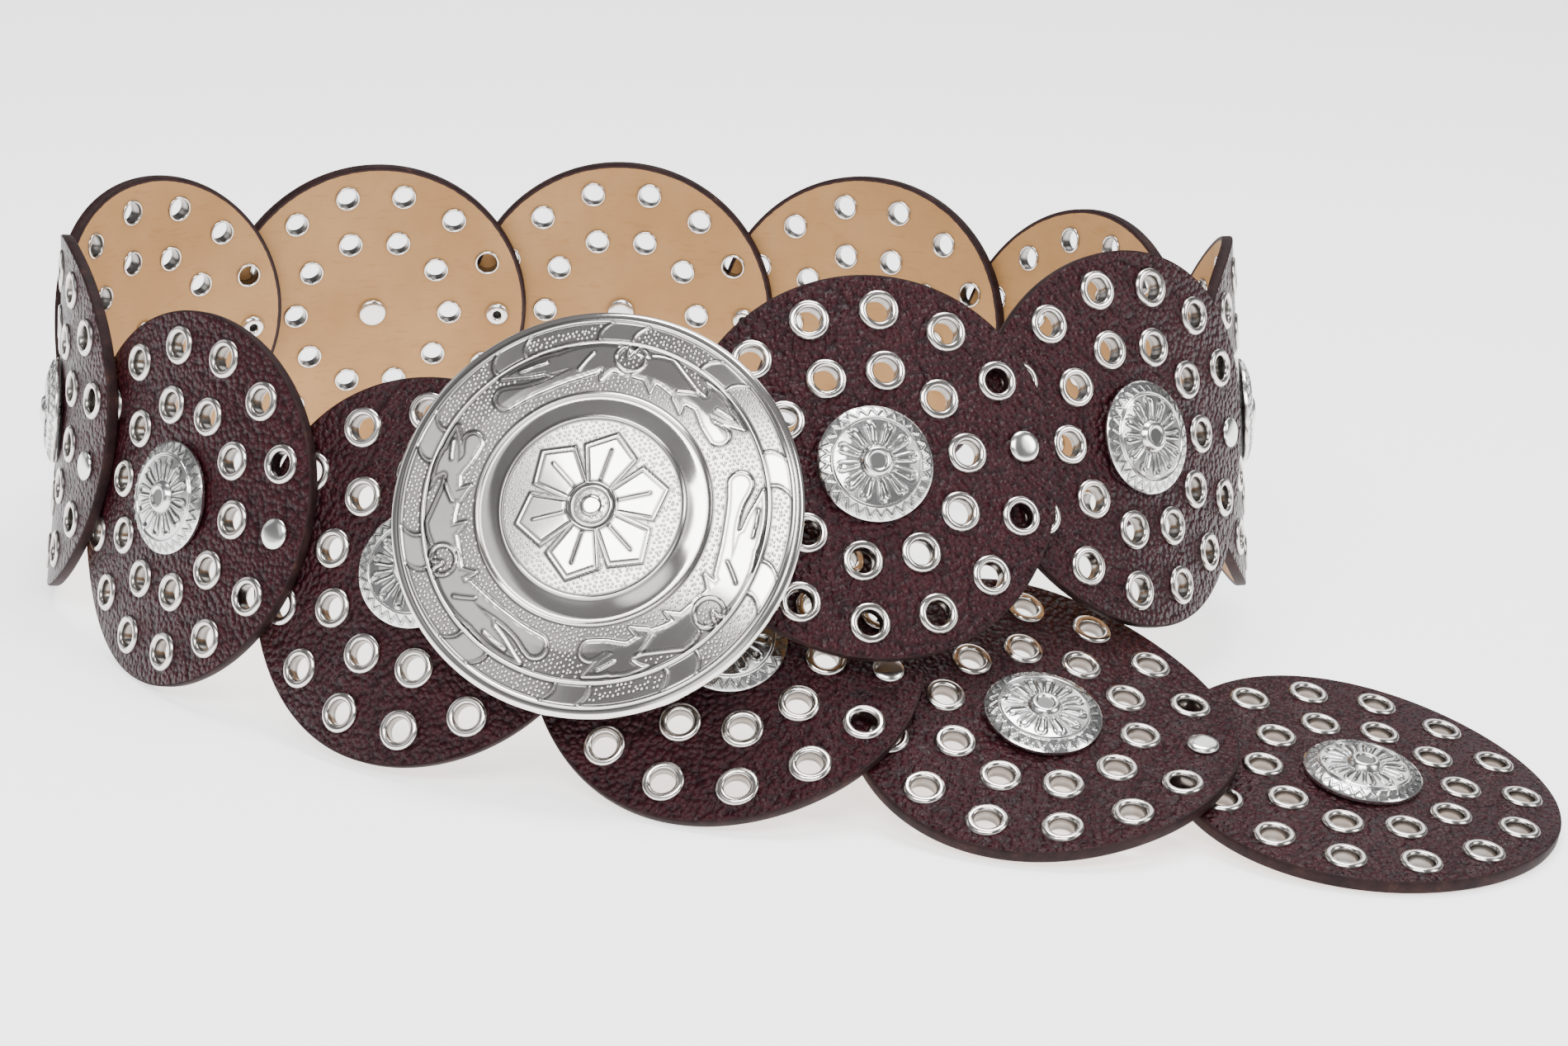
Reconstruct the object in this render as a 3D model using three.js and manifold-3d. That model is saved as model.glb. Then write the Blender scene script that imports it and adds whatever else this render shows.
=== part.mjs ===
// Concho belt, buckled and standing on its edge: fourteen overlapped round leather discs, held to
// each other by rivets, a domed concho on each, and a round plate buckle that hooks into disc 11.
// Millimetres, +Z up, the front of the belt toward -Y, the origin under the middle of the belt.
import * as THREE from "three";
import { mergeVertices } from "three/addons/utils/BufferGeometryUtils.js";
import Module from "manifold-3d";

const wasm = await Module();
wasm.setup();

// Leather discs
const DISC_RADIUS = 50;
const LEATHER = 3.2;
const GAP = 0.3;
const OUTER_RING = 40.7;
const INNER_RING = 25;
const RING_HOLES = 10;
const EYELET_BORE = 6.3;
const RIVET_HOLE = 3.8;
const OUTLINE_POINTS = 23;
const HOLE_POINTS = 6;
const MIDDLE_RING = 10;

// Each disc from the buckle to the tail. Bend and twist are degrees between its two rivets, turn is
// how far it is turned on the rivet of the disc before it, holes is how many holes its inner ring has.
const DISCS = [
  { bend: 17.1, twist: -8.1, turn: 0, holes: RING_HOLES },
  { bend: 35.4, twist: -12.6, turn: 0, holes: RING_HOLES },
  { bend: 60.2, twist: -6.1, turn: 7.5, holes: 0 },
  { bend: 23.2, twist: -4.1, turn: 5, holes: RING_HOLES },
  { bend: 26.5, twist: 10.2, turn: 2, holes: RING_HOLES },
  { bend: 16.7, twist: 6.1, turn: -0.5, holes: RING_HOLES },
  { bend: 22.4, twist: 2.8, turn: 3.5, holes: RING_HOLES },
  { bend: 56.2, twist: -15.5, turn: 7, holes: RING_HOLES },
  { bend: 37.4, twist: 15.1, turn: -4, holes: 0 },
  { bend: 22, twist: 9.8, turn: 11, holes: RING_HOLES },
  { bend: 24.4, twist: 15.5, turn: 2.5, holes: RING_HOLES },
  { bend: 9, twist: 28.1, turn: 8.5, holes: RING_HOLES },
  { bend: -9, twist: 17.9, turn: -4.5, holes: RING_HOLES },
  { bend: 4.5, twist: 6.5, turn: 7, holes: RING_HOLES },
];

// The first disc: where its middle is, which way it faces (yaw 0 is straight to the front), how far
// its top leans in and how far it rolls in its own plane, in degrees.
const FIRST = { x: 21.7, y: -84, z: 76.2, yaw: 13.6, lean: 32, roll: 6.1 };

// Conchos
const CONCHO_RADIUS = 15;
const CONCHO_RIM = 1.1;
const CONCHO_SIDES = 9;
const CONCHO_BACK_RADIUS = 4.5;
const CONCHO_BACK = 1.2;
// The face of a concho, from its rim to its middle: share of its radius, height over its seat.
const CONCHO_FACE = [
  { share: 1, height: CONCHO_RIM },
  { share: 0.76, height: 2.9 },
  { share: 0.3, height: 3.5 },
  { share: 0.26, height: 4.5 },
];

// Rivets
const POST_RADIUS = 1.4;
const CAP_RADIUS = 4.1;
const CAP_EDGE = 0.6;
const CAP_HEIGHT = 1.7;
const BACK_RADIUS = 3.8;
const BACK_HEIGHT = 1.2;
const RIVET_SIDES = 6;

// Buckle tab and bar
const TAB_WIDTH = 20;
const TAB_LEATHER = 2;
const BAR_RADIUS = 1.6;
const ROD_SIDES = 8;

// Buckle. It swings on its bar, and its middle lies off the bar by these distances.
const BUCKLE_RADIUS = 52;
const BUCKLE_SIDES = 24;
const BUCKLE_SWING = -8;
const BAR_OFFSET = 18;
const BAR_RISE = 1.5;
const BAR_DEPTH = 6.3;
const FIXING_DEPTH = 1.2;
// The front and the back of the plate: share of its radius, height over its back edge.
const BUCKLE_FRONT = [
  { share: 1, height: 1.5 },
  { share: 0.955, height: 2.6 },
  { share: 0.84, height: 3.1 },
  { share: 0.83, height: 4 },
  { share: 0.8, height: 3.6 },
  { share: 0.57, height: 5.6 },
  { share: 0.555, height: 6.4 },
  { share: 0.5, height: 5.4 },
  { share: 0.45, height: 6.5 },
  { share: 0.1, height: 7.7 },
  { share: 0.09, height: 8.5 },
];
const BUCKLE_BACK = [
  { share: 1, height: 0 },
  { share: 0.9, height: 0 },
  { share: 0.5, height: 2 },
];
// The ornament: how many copies there are and how far they stand up, and shares of the radius.
const PETALS = { count: 6, inner: 0.12, shoulder: 0.27, tip: 0.37, width: 0.125, raise: 0.6 };
const SCROLLS = { count: 6, middle: 0.69, raise: 0.7 };
const BERRIES = { count: 3, middle: 0.74, radius: 0.055, raise: 0.7 };
const PATCHES = { count: 10, middle: 0.895, raise: 0.5 };
// The outlines of a scroll and of a border patch: share of the radius, degrees from its middle.
const SCROLL_OUTLINE = [
  { share: 0.6, angle: -22 },
  { share: 0.62, angle: -11 },
  { share: 0.66, angle: 3 },
  { share: 0.68, angle: 13 },
  { share: 0.73, angle: 23 },
  { share: 0.78, angle: 9 },
  { share: 0.77, angle: -3 },
  { share: 0.7, angle: -14 },
];
const PATCH_OUTLINE = [
  { share: 0.855, angle: -3 },
  { share: 0.855, angle: 7 },
  { share: 0.935, angle: 3 },
  { share: 0.935, angle: -7 },
];

// Hook
const HOOK_RADIUS = 1.8;
const HOOK_REACH = 9;
const HOOK_DISC = 10;
const HOOK_HOLE = 1;

const LEATHER_LOOK = new THREE.MeshStandardMaterial({ color: 0x4b262b, roughness: 0.55, metalness: 0 });
const SILVER_LOOK = new THREE.MeshStandardMaterial({ color: 0xc9cacd, roughness: 0.3, metalness: 1 });
const NICKEL_LOOK = new THREE.MeshStandardMaterial({ color: 0xd6d6d4, roughness: 0.2, metalness: 1 });

const radians = THREE.MathUtils.degToRad;
const NUDGE = 1e-4;

// A closed geometry as a body that can be joined and cut.
function bodyOf(geometry) {
  const bare = new THREE.BufferGeometry();
  bare.setAttribute("position", geometry.getAttribute("position"));
  bare.setIndex(geometry.index);
  const merged = mergeVertices(bare, NUDGE);
  const corners = merged.index.array;
  const kept = [];
  for (let i = 0; i < corners.length; i += 3) {
    const [a, b, c] = corners.slice(i, i + 3);
    if (a !== b && b !== c && c !== a) kept.push(a, b, c);
  }
  return new wasm.Manifold(new wasm.Mesh({
    numProp: 3,
    vertProperties: new Float32Array(merged.getAttribute("position").array),
    triVerts: new Uint32Array(kept),
  }));
}

function geometryOf(body) {
  const mesh = body.getMesh();
  const geometry = new THREE.BufferGeometry();
  geometry.setAttribute("position", new THREE.BufferAttribute(mesh.vertProperties, 3));
  geometry.setIndex(new THREE.BufferAttribute(mesh.triVerts, 1));
  return geometry;
}

// A turned shape round Z. Its profile runs from the axis at the bottom to the axis at the top.
function turned(profile, sides) {
  const points = profile.map(([radius, height]) => new THREE.Vector2(radius, height));
  const lathe = new THREE.LatheGeometry(points, sides).rotateX(Math.PI / 2);
  return geometryOf(bodyOf(lathe));
}

// A straight round bar between two points.
function rod(from, to, radius) {
  const along = to.clone().sub(from);
  const bar = new THREE.CylinderGeometry(radius, radius, along.length(), ROD_SIDES);
  const aim = new THREE.Quaternion();
  aim.setFromUnitVectors(new THREE.Vector3(0, 1, 0), along.clone().normalize());
  bar.applyQuaternion(aim);
  const middle = from.clone().add(to).multiplyScalar(0.5);
  return bodyOf(bar.translate(middle.x, middle.y, middle.z));
}

// The frame on a bent disc at a distance along it from its middle line: X along, Y up, Z out.
function frameAt(disc, along) {
  const arc = disc.bend * along;
  const turn = disc.twist * along;
  const forward = arc === 0 ? along : Math.sin(arc) / disc.bend;
  const inward = arc === 0 ? 0 : (1 - Math.cos(arc)) / disc.bend;
  const right = new THREE.Vector3(Math.cos(arc), 0, -Math.sin(arc));
  const out = new THREE.Vector3(Math.sin(arc), 0, Math.cos(arc));
  const up = new THREE.Vector3(0, Math.cos(turn), 0).addScaledVector(out, -Math.sin(turn));
  const normal = out.multiplyScalar(Math.cos(turn)).add(new THREE.Vector3(0, Math.sin(turn), 0));
  const frame = new THREE.Matrix4().makeBasis(right, up, normal);
  return frame.setPosition(forward, 0, -inward);
}

// A point of the flat leather, moved to where bending and twisting bring it.
function bent(disc, along, up, out) {
  return new THREE.Vector3(0, up, out).applyMatrix4(frameAt(disc, along));
}

function circleHolds([a, b, c], p) {
  const rows = [a, b, c].map((q) => [q.x - p.x, q.y - p.y, (q.x - p.x) ** 2 + (q.y - p.y) ** 2]);
  const [[ax, ay, aa], [bx, by, bb], [cx, cy, cc]] = rows;
  return ax * (by * cc - bb * cy) - ay * (bx * cc - bb * cx) + aa * (bx * cy - by * cx) > 0;
}

// Triangles between flat points, such that no triangle's circle holds another point.
function triangulate(points) {
  const far = 20 * DISC_RADIUS;
  const nudged = points.map((p, i) => new THREE.Vector2(
    p.x + NUDGE * Math.sin(13 * i),
    p.y + NUDGE * Math.cos(7 * i),
  ));
  nudged.push(new THREE.Vector2(-far, -far));
  nudged.push(new THREE.Vector2(far, -far));
  nudged.push(new THREE.Vector2(0, far));
  let triangles = [[points.length, points.length + 1, points.length + 2]];
  for (let i = 0; i < points.length; i += 1) {
    const edges = new Map();
    const kept = [];
    for (const triangle of triangles) {
      if (!circleHolds(triangle.map((k) => nudged[k]), nudged[i])) {
        kept.push(triangle);
        continue;
      }
      for (let side = 0; side < 3; side += 1) {
        const from = triangle[side];
        const to = triangle[(side + 1) % 3];
        if (!edges.delete(`${to} ${from}`)) edges.set(`${from} ${to}`, [from, to]);
      }
    }
    triangles = kept;
    for (const [from, to] of edges.values()) triangles.push([from, to, i]);
  }
  return triangles.filter((triangle) => triangle.every((k) => k < points.length));
}

function ring(x, y, radius, count, start = 0) {
  return Array.from({ length: count }, (_, k) => {
    const angle = start + (2 * Math.PI * k) / count;
    return new THREE.Vector2(x + radius * Math.cos(angle), y + radius * Math.sin(angle));
  });
}

// The loops of a flat disc: its outline and its holes, and single points that keep it smooth.
function discLoops(row, last) {
  const outline = ring(0, 0, DISC_RADIUS, OUTLINE_POINTS);
  const middles = ring(0, 0, INNER_RING, RING_HOLES);
  const cut = middles.slice(0, row.holes);
  const holes = cut.map((p) => ring(p.x, p.y, EYELET_BORE / 2, HOLE_POINTS));
  holes.push(ring(0, 0, RIVET_HOLE / 2, HOLE_POINTS));
  holes.push(ring(-OUTER_RING, 0, RIVET_HOLE / 2, HOLE_POINTS));
  if (!last) holes.push(ring(OUTER_RING, 0, RIVET_HOLE / 2, HOLE_POINTS));
  const eyeletAngle = (2 * Math.PI) / 14;
  const beside = [1, 6, 8, 13].map((k) => new THREE.Vector2(
    OUTER_RING * Math.cos(k * eyeletAngle),
    OUTER_RING * Math.sin(k * eyeletAngle),
  ));
  const aroundMiddle = ring(0, 0, MIDDLE_RING, HOLE_POINTS, Math.PI / HOLE_POINTS);
  return { outline, holes, single: [...middles.slice(row.holes), ...beside, ...aroundMiddle] };
}

// One bent disc: the flat faces are triangulated, moved to both sides of the leather and walled.
function discGeometry(row, last) {
  const { outline, holes, single } = discLoops(row, last);
  const loops = [outline, ...holes];
  const points = [...loops.flat(), ...single];
  const owner = loops.flatMap((loop, k) => loop.map(() => k));
  const inHole = ([a, b, c]) => owner[a] > 0 && owner[a] === owner[b] && owner[b] === owner[c];
  const faces = triangulate(points).filter((triangle) => !inHole(triangle));
  const corners = [];
  const put = (k, out) => corners.push(...bent(row, points[k].x, points[k].y, out).toArray());
  const half = LEATHER / 2;
  for (const [a, b, c] of faces) {
    for (const k of [a, b, c]) put(k, half);
    for (const k of [c, b, a]) put(k, -half);
  }
  let first = 0;
  loops.forEach((loop, number) => {
    for (let k = 0; k < loop.length; k += 1) {
      const here = first + k;
      const next = first + ((k + 1) % loop.length);
      const [from, to] = number === 0 ? [here, next] : [next, here];
      for (const [point, side] of [[from, -1], [to, -1], [to, 1], [from, -1], [to, 1], [from, 1]]) {
        put(point, side * half);
      }
    }
    first += loop.length;
  });
  const geometry = new THREE.BufferGeometry();
  geometry.setAttribute("position", new THREE.Float32BufferAttribute(corners, 3));
  return mergeVertices(geometry, NUDGE);
}

// How far a round seat must stand off the bent face so that it clears the face all round.
function standOff(row, radius) {
  const rise = Math.hypot(row.bend / 2, row.twist) - row.bend / 2;
  return LEATHER / 2 + GAP + (rise * radius ** 2) / 2;
}

// A concho with its post through the leather and its round back, on the middle of a disc.
function conchoGeometry(row) {
  const seat = standOff(row, CONCHO_RADIUS);
  const under = -LEATHER / 2 - GAP;
  const face = CONCHO_FACE.map(({ share, height }) => [share * CONCHO_RADIUS, seat + height]);
  const top = face[face.length - 1][1];
  return turned([
    [0, under - CONCHO_BACK],
    [CONCHO_BACK_RADIUS, under - CONCHO_BACK],
    [CONCHO_BACK_RADIUS, under],
    [POST_RADIUS, under],
    [POST_RADIUS, seat],
    [CONCHO_RADIUS, seat],
    ...face,
    [0, top],
  ], CONCHO_SIDES);
}

// A rivet along Z, with a domed cap on the height top and a round back under the height bottom.
function rivetGeometry(top, bottom) {
  return turned([
    [0, bottom - BACK_HEIGHT],
    [BACK_RADIUS, bottom - BACK_HEIGHT],
    [BACK_RADIUS, bottom],
    [POST_RADIUS, bottom],
    [POST_RADIUS, top],
    [CAP_RADIUS, top],
    [CAP_RADIUS, top + CAP_EDGE],
    [CAP_RADIUS / 2, top + CAP_HEIGHT],
    [0, top + CAP_HEIGHT],
  ], RIVET_SIDES);
}

// How far apart the middles of two overlapped discs lie at their rivet. Two discs that bend or
// twist differently part at the edges of their overlap, so they need more there.
function spacing(row, next) {
  const width = DISC_RADIUS - OUTER_RING;
  const height = Math.sqrt(DISC_RADIUS ** 2 - OUTER_RING ** 2);
  const bendPart = (Math.abs(row.bend - next.bend) * width ** 2) / 2;
  const twistPart = 0.4 * Math.abs(row.twist - next.twist) * width * height;
  return LEATHER + GAP + bendPart + twistPart;
}

// The bar lies just past the edge of the first disc, in the plane of its leather.
const barAlong = -(DISC_RADIUS + GAP + BAR_RADIUS);

// The leather tab: a strip that wraps the bar, with a leg on each face of the first disc.
function tabGeometry(row) {
  const inner = LEATHER / 2 + GAP;
  const outer = inner + TAB_LEATHER;
  const end = TAB_WIDTH / 2 - OUTER_RING;
  const half = Math.PI / 2;
  const profile = new THREE.Shape();
  profile.moveTo(end, inner);
  profile.lineTo(end, outer);
  profile.absarc(barAlong, 0, outer, half, 3 * half, false);
  profile.lineTo(end, -outer);
  profile.lineTo(end, -inner);
  profile.absarc(barAlong, 0, inner, 3 * half, half, true);
  const strip = new THREE.ExtrudeGeometry(profile, {
    depth: TAB_WIDTH, bevelEnabled: false, curveSegments: 4, steps: 2,
  });
  strip.rotateX(half).translate(0, TAB_WIDTH / 2, 0);
  const plan = new THREE.Shape();
  plan.moveTo(barAlong - 2 * outer, -TAB_WIDTH);
  plan.lineTo(-OUTER_RING, -TAB_WIDTH / 2);
  plan.absarc(-OUTER_RING, 0, TAB_WIDTH / 2, -half, half, false);
  plan.lineTo(barAlong - 2 * outer, TAB_WIDTH);
  const keep = new THREE.ExtrudeGeometry(plan, {
    depth: 4 * outer, bevelEnabled: false, curveSegments: 3,
  });
  keep.translate(0, 0, -2 * outer);
  const hole = new THREE.CylinderGeometry(RIVET_HOLE / 2, RIVET_HOLE / 2, 4 * outer, HOLE_POINTS);
  hole.rotateX(half).translate(-OUTER_RING, 0, 0);
  const flat = geometryOf(bodyOf(strip).intersect(bodyOf(keep)).subtract(bodyOf(hole)));
  const place = flat.getAttribute("position");
  for (let i = 0; i < place.count; i += 1) {
    const moved = bent(row, place.getX(i), place.getY(i), place.getZ(i));
    place.setXYZ(i, moved.x, moved.y, moved.z);
  }
  return flat;
}

// The height of the plate's front at a share of its radius.
function frontHeight(share) {
  const outside = BUCKLE_FRONT.findLast((row) => row.share >= share);
  const inside = BUCKLE_FRONT.find((row) => row.share < share) ?? outside;
  const part = inside === outside ? 0 : (outside.share - share) / (outside.share - inside.share);
  return THREE.MathUtils.lerp(outside.height, inside.height, part);
}

// Raised ornament: one flat outline, set round the plate, each copy tilted with the front there.
function raised(shape, { count, middle, raise }, halfTurn) {
  const reach = 0.04;
  const slope = frontHeight(middle - reach) - frontHeight(middle + reach);
  const tilt = Math.atan2(slope, 2 * reach * BUCKLE_RADIUS);
  return Array.from({ length: count }, (_, k) => {
    const block = new THREE.ExtrudeGeometry(shape, { depth: 2 * raise, bevelEnabled: false });
    block.translate(0, 0, -raise);
    block.rotateY(tilt);
    block.translate(middle * BUCKLE_RADIUS, 0, frontHeight(middle));
    block.rotateZ((2 * Math.PI * (k + halfTurn)) / count);
    return bodyOf(block);
  });
}

// A flat outline from a table of shares and angles, moved in to its own middle.
function outlined(points, { middle }) {
  return new THREE.Shape(points.map(({ share, angle }) => new THREE.Vector2(
    (share * Math.cos(radians(angle)) - middle) * BUCKLE_RADIUS,
    share * Math.sin(radians(angle)) * BUCKLE_RADIUS,
  )));
}

function berryShape() {
  return new THREE.Shape(ring(0, 0, BERRIES.radius * BUCKLE_RADIUS, HOLE_POINTS));
}

function petalShape() {
  const middle = (PETALS.inner + PETALS.tip) / 2;
  const at = (share, side) => new THREE.Vector2(
    (share - middle) * BUCKLE_RADIUS,
    side * PETALS.width * BUCKLE_RADIUS,
  );
  return new THREE.Shape([
    at(PETALS.inner, -0.5),
    at(PETALS.shoulder, -1),
    at(PETALS.tip, 0),
    at(PETALS.shoulder, 1),
    at(PETALS.inner, 0.5),
  ]);
}

// The buckle: the plate with its ornament, and the bar and the hook soldered to its back.
function buckleGeometry(hole, holeOut, holeLeft) {
  const toPoint = ({ share, height }) => [share * BUCKLE_RADIUS, height];
  const front = BUCKLE_FRONT.map(toPoint);
  const back = BUCKLE_BACK.map(toPoint).reverse();
  const plate = bodyOf(turned([
    [0, back[0][1]],
    ...back,
    ...front,
    [0, front[front.length - 1][1]],
  ], BUCKLE_SIDES));
  const petalMiddle = (PETALS.inner + PETALS.tip) / 2;
  const ornament = [
    ...raised(petalShape(), { ...PETALS, middle: petalMiddle }, 0),
    ...raised(outlined(SCROLL_OUTLINE, SCROLLS), SCROLLS, 0.5),
    ...raised(berryShape(), BERRIES, 0.5),
    ...raised(outlined(PATCH_OUTLINE, PATCHES), PATCHES, 0),
  ];
  const rootHeight = back[0][1] + FIXING_DEPTH;
  const barEnd = TAB_WIDTH / 2 + GAP + BAR_RADIUS;
  const rods = [];
  for (const side of [-1, 1]) {
    const foot = new THREE.Vector3(BAR_OFFSET, BAR_RISE + side * barEnd, -BAR_DEPTH - BAR_RADIUS);
    rods.push(rod(foot, foot.clone().setZ(rootHeight), BAR_RADIUS));
  }
  const barFrom = new THREE.Vector3(BAR_OFFSET, BAR_RISE - barEnd, -BAR_DEPTH);
  rods.push(rod(barFrom, barFrom.clone().setY(BAR_RISE + barEnd), BAR_RADIUS));
  const below = LEATHER / 2 + GAP + HOOK_RADIUS;
  const heel = hole.clone().addScaledVector(holeOut, -below);
  const root = hole.clone().addScaledVector(holeOut, (rootHeight - hole.z) / holeOut.z);
  rods.push(rod(heel.clone().addScaledVector(holeOut, -HOOK_RADIUS), root, HOOK_RADIUS));
  rods.push(rod(heel, heel.clone().addScaledVector(holeLeft, HOOK_REACH), HOOK_RADIUS));
  return geometryOf([...ornament, ...rods].reduce((whole, piece) => whole.add(piece), plate));
}

const rows = DISCS.map((row) => ({
  ...row,
  bend: radians(row.bend) / (2 * OUTER_RING),
  twist: radians(row.twist) / (2 * OUTER_RING),
}));

function named(name, geometry, look) {
  const mesh = new THREE.Mesh(geometry, look.clone());
  mesh.name = name;
  return mesh;
}

function placedBy(matrix) {
  const group = new THREE.Group();
  group.applyMatrix4(matrix);
  return group;
}

// One link: a disc with its concho, and the rivet that holds the next disc.
function makeLink(number) {
  const row = rows[number];
  const next = rows[number + 1];
  const label = String(number + 1).padStart(2, "0");
  const link = new THREE.Group();
  link.add(named(`leather_disc_${label}`, discGeometry(row, !next), LEATHER_LOOK));
  link.add(named(`concho_${label}`, conchoGeometry(row), SILVER_LOOK));
  if (next) {
    const top = LEATHER / 2 + GAP;
    const seat = placedBy(frameAt(row, OUTER_RING));
    seat.add(named(`disc_rivet_${label}`, rivetGeometry(top, -spacing(row, next) - top), NICKEL_LOOK));
    link.add(seat);
  }
  return link;
}

// From one link to the next: to the rivet, in by the leather, turned on the rivet, back to the middle.
function stepTo(number) {
  const row = rows[number - 1];
  const next = rows[number];
  const step = frameAt(row, OUTER_RING);
  step.multiply(new THREE.Matrix4().makeTranslation(0, 0, -spacing(row, next)));
  step.multiply(new THREE.Matrix4().makeRotationZ(radians(next.turn)));
  return step.multiply(frameAt(next, -OUTER_RING).invert());
}

const belt = new THREE.Group();
const firstPlace = new THREE.Matrix4().makeTranslation(FIRST.x, FIRST.y, FIRST.z);
firstPlace.multiply(new THREE.Matrix4().makeRotationZ(radians(FIRST.yaw)));
firstPlace.multiply(new THREE.Matrix4().makeRotationX(radians(90 - FIRST.lean)));
firstPlace.multiply(new THREE.Matrix4().makeRotationZ(radians(FIRST.roll)));
const links = rows.map((_, number) => makeLink(number));
links[0].applyMatrix4(firstPlace);
belt.add(links[0]);
for (let number = 1; number < links.length; number += 1) {
  links[number].applyMatrix4(stepTo(number));
  links[number - 1].add(links[number]);
}

// The tab and its rivet go on the first disc, and the buckle swings on the bar.
const tabTop = LEATHER / 2 + 2 * GAP + TAB_LEATHER;
links[0].add(named("buckle_tab", tabGeometry(rows[0]), LEATHER_LOOK));
const tabSeat = placedBy(frameAt(rows[0], -OUTER_RING));
tabSeat.add(named("tab_rivet", rivetGeometry(tabTop, -tabTop), NICKEL_LOOK));
links[0].add(tabSeat);

const bucklePlace = frameAt(rows[0], barAlong);
bucklePlace.multiply(new THREE.Matrix4().makeRotationY(radians(BUCKLE_SWING)));
bucklePlace.multiply(new THREE.Matrix4().makeTranslation(-BAR_OFFSET, -BAR_RISE, BAR_DEPTH));
const buckleSeat = placedBy(bucklePlace);
links[0].add(buckleSeat);
belt.updateMatrixWorld(true);

// The hook goes through a ring hole of disc 11: the hole's middle and directions, seen from the plate.
const holeAngle = (2 * Math.PI * HOOK_HOLE) / RING_HOLES;
const holeFrame = frameAt(rows[HOOK_DISC], INNER_RING * Math.cos(holeAngle));
holeFrame.multiply(new THREE.Matrix4().makeTranslation(0, INNER_RING * Math.sin(holeAngle), 0));
holeFrame.premultiply(links[HOOK_DISC].matrixWorld);
holeFrame.premultiply(buckleSeat.matrixWorld.clone().invert());
const holeMiddle = new THREE.Vector3().setFromMatrixPosition(holeFrame);
const holeOut = new THREE.Vector3().setFromMatrixColumn(holeFrame, 2);
const holeLeft = new THREE.Vector3().setFromMatrixColumn(holeFrame, 0).negate();
buckleSeat.add(named("buckle", buckleGeometry(holeMiddle, holeOut, holeLeft), SILVER_LOOK));

// The belt stands on Z = 0 with its middle over the origin.
const part = new THREE.Group();
part.add(belt);
part.updateMatrixWorld(true);
const box = new THREE.Box3().setFromObject(belt, true);
const centre = box.getCenter(new THREE.Vector3());
belt.position.sub(new THREE.Vector3(centre.x, centre.y, box.min.z));

export default part;
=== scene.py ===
import math

import bpy
import numpy as np
from mathutils import Matrix, Vector
from mathutils.geometry import delaunay_2d_cdt


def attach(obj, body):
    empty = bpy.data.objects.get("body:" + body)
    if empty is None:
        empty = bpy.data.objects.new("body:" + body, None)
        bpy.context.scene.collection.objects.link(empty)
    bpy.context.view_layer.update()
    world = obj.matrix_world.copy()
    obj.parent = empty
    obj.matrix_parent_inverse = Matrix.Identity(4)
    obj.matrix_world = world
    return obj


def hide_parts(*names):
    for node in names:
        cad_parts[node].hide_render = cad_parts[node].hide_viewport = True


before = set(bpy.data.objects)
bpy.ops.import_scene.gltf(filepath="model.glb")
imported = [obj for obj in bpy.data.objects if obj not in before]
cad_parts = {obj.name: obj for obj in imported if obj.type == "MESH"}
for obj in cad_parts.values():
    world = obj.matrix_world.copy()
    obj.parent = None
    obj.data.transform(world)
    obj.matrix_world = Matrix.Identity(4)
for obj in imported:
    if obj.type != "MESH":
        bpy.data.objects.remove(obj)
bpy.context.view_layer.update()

# Sizes in millimetres, as the solids have them. Meshes are scaled to metres when they are made.
MM = 0.001
DISC_RADIUS = 50.0
LEATHER = 3.2
GAP = 0.3
OUTER_RING = 40.7
INNER_RING = 25.0
OUTER_HOLES = 14
INNER_HOLES = 10
EYELET_BORE = 3.15
EYELET_BARREL = 3.6
EYELET_FLANGE = 5.3
EYELET_BACK = 4.0
RIVET_POST = 1.4
RIVET_CAP = 4.1
RIVET_BACK = 3.8
CONCHO_RADIUS = 15.0
CONCHO_BACK = 4.5
TAB_WIDTH = 20.0
TAB_LEATHER = 2.0
BAR_RADIUS = 1.6
BUCKLE_RADIUS = 52.0
BUCKLE_SWING = -8.0
BAR_OFFSET = 18.0
BAR_RISE = 1.5
BAR_DEPTH = 6.3
HOOK_RADIUS = 1.8
HOOK_REACH = 9.0
HOOK_DISC = 10
HOOK_HOLE = 1

# Each disc from the buckle to the tail: its bend and twist between its rivets, its turn on the rivet,
# and how deep its grain is, because each was cut from another part of the hide.
DISCS = [
    {"bend": 17.1, "twist": -8.1, "turn": 0, "grain": 1.0},
    {"bend": 35.4, "twist": -12.6, "turn": 0, "grain": 1.0},
    {"bend": 60.2, "twist": -6.1, "turn": 7.5, "grain": 0.75},
    {"bend": 23.2, "twist": -4.1, "turn": 5, "grain": 0.9},
    {"bend": 26.5, "twist": 10.2, "turn": 2, "grain": 0.9},
    {"bend": 16.7, "twist": 6.1, "turn": -0.5, "grain": 0.9},
    {"bend": 22.4, "twist": 2.8, "turn": 3.5, "grain": 0.9},
    {"bend": 56.2, "twist": -15.5, "turn": 7, "grain": 0.7},
    {"bend": 37.4, "twist": 15.1, "turn": -4, "grain": 0.45},
    {"bend": 22, "twist": 9.8, "turn": 11, "grain": 0.5},
    {"bend": 24.4, "twist": 15.5, "turn": 2.5, "grain": 1.1},
    {"bend": 9, "twist": 28.1, "turn": 8.5, "grain": 1.15},
    {"bend": -9, "twist": 17.9, "turn": -4.5, "grain": 0.75},
    {"bend": 4.5, "twist": 6.5, "turn": 7, "grain": 0.7},
]
FIRST = {"x": 31.987, "y": -84.586, "z": 76.93, "yaw": 13.6, "lean": 32, "roll": 6.1}

# The camera, from the middle of the first disc, in millimetres and degrees.
CAMERA_FROM_FIRST = (-21.7, -751.7, 240.9)
CAMERA_PITCH = 18.87
CAMERA_ROLL = 2.39
CAMERA_FOCUS = 3796
PHOTO_WIDTH = 1900
SENSOR = 36.0


# Frames along the belt

def spin(axis, degrees):
    return np.array(Matrix.Rotation(math.radians(degrees), 4, axis))


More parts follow.
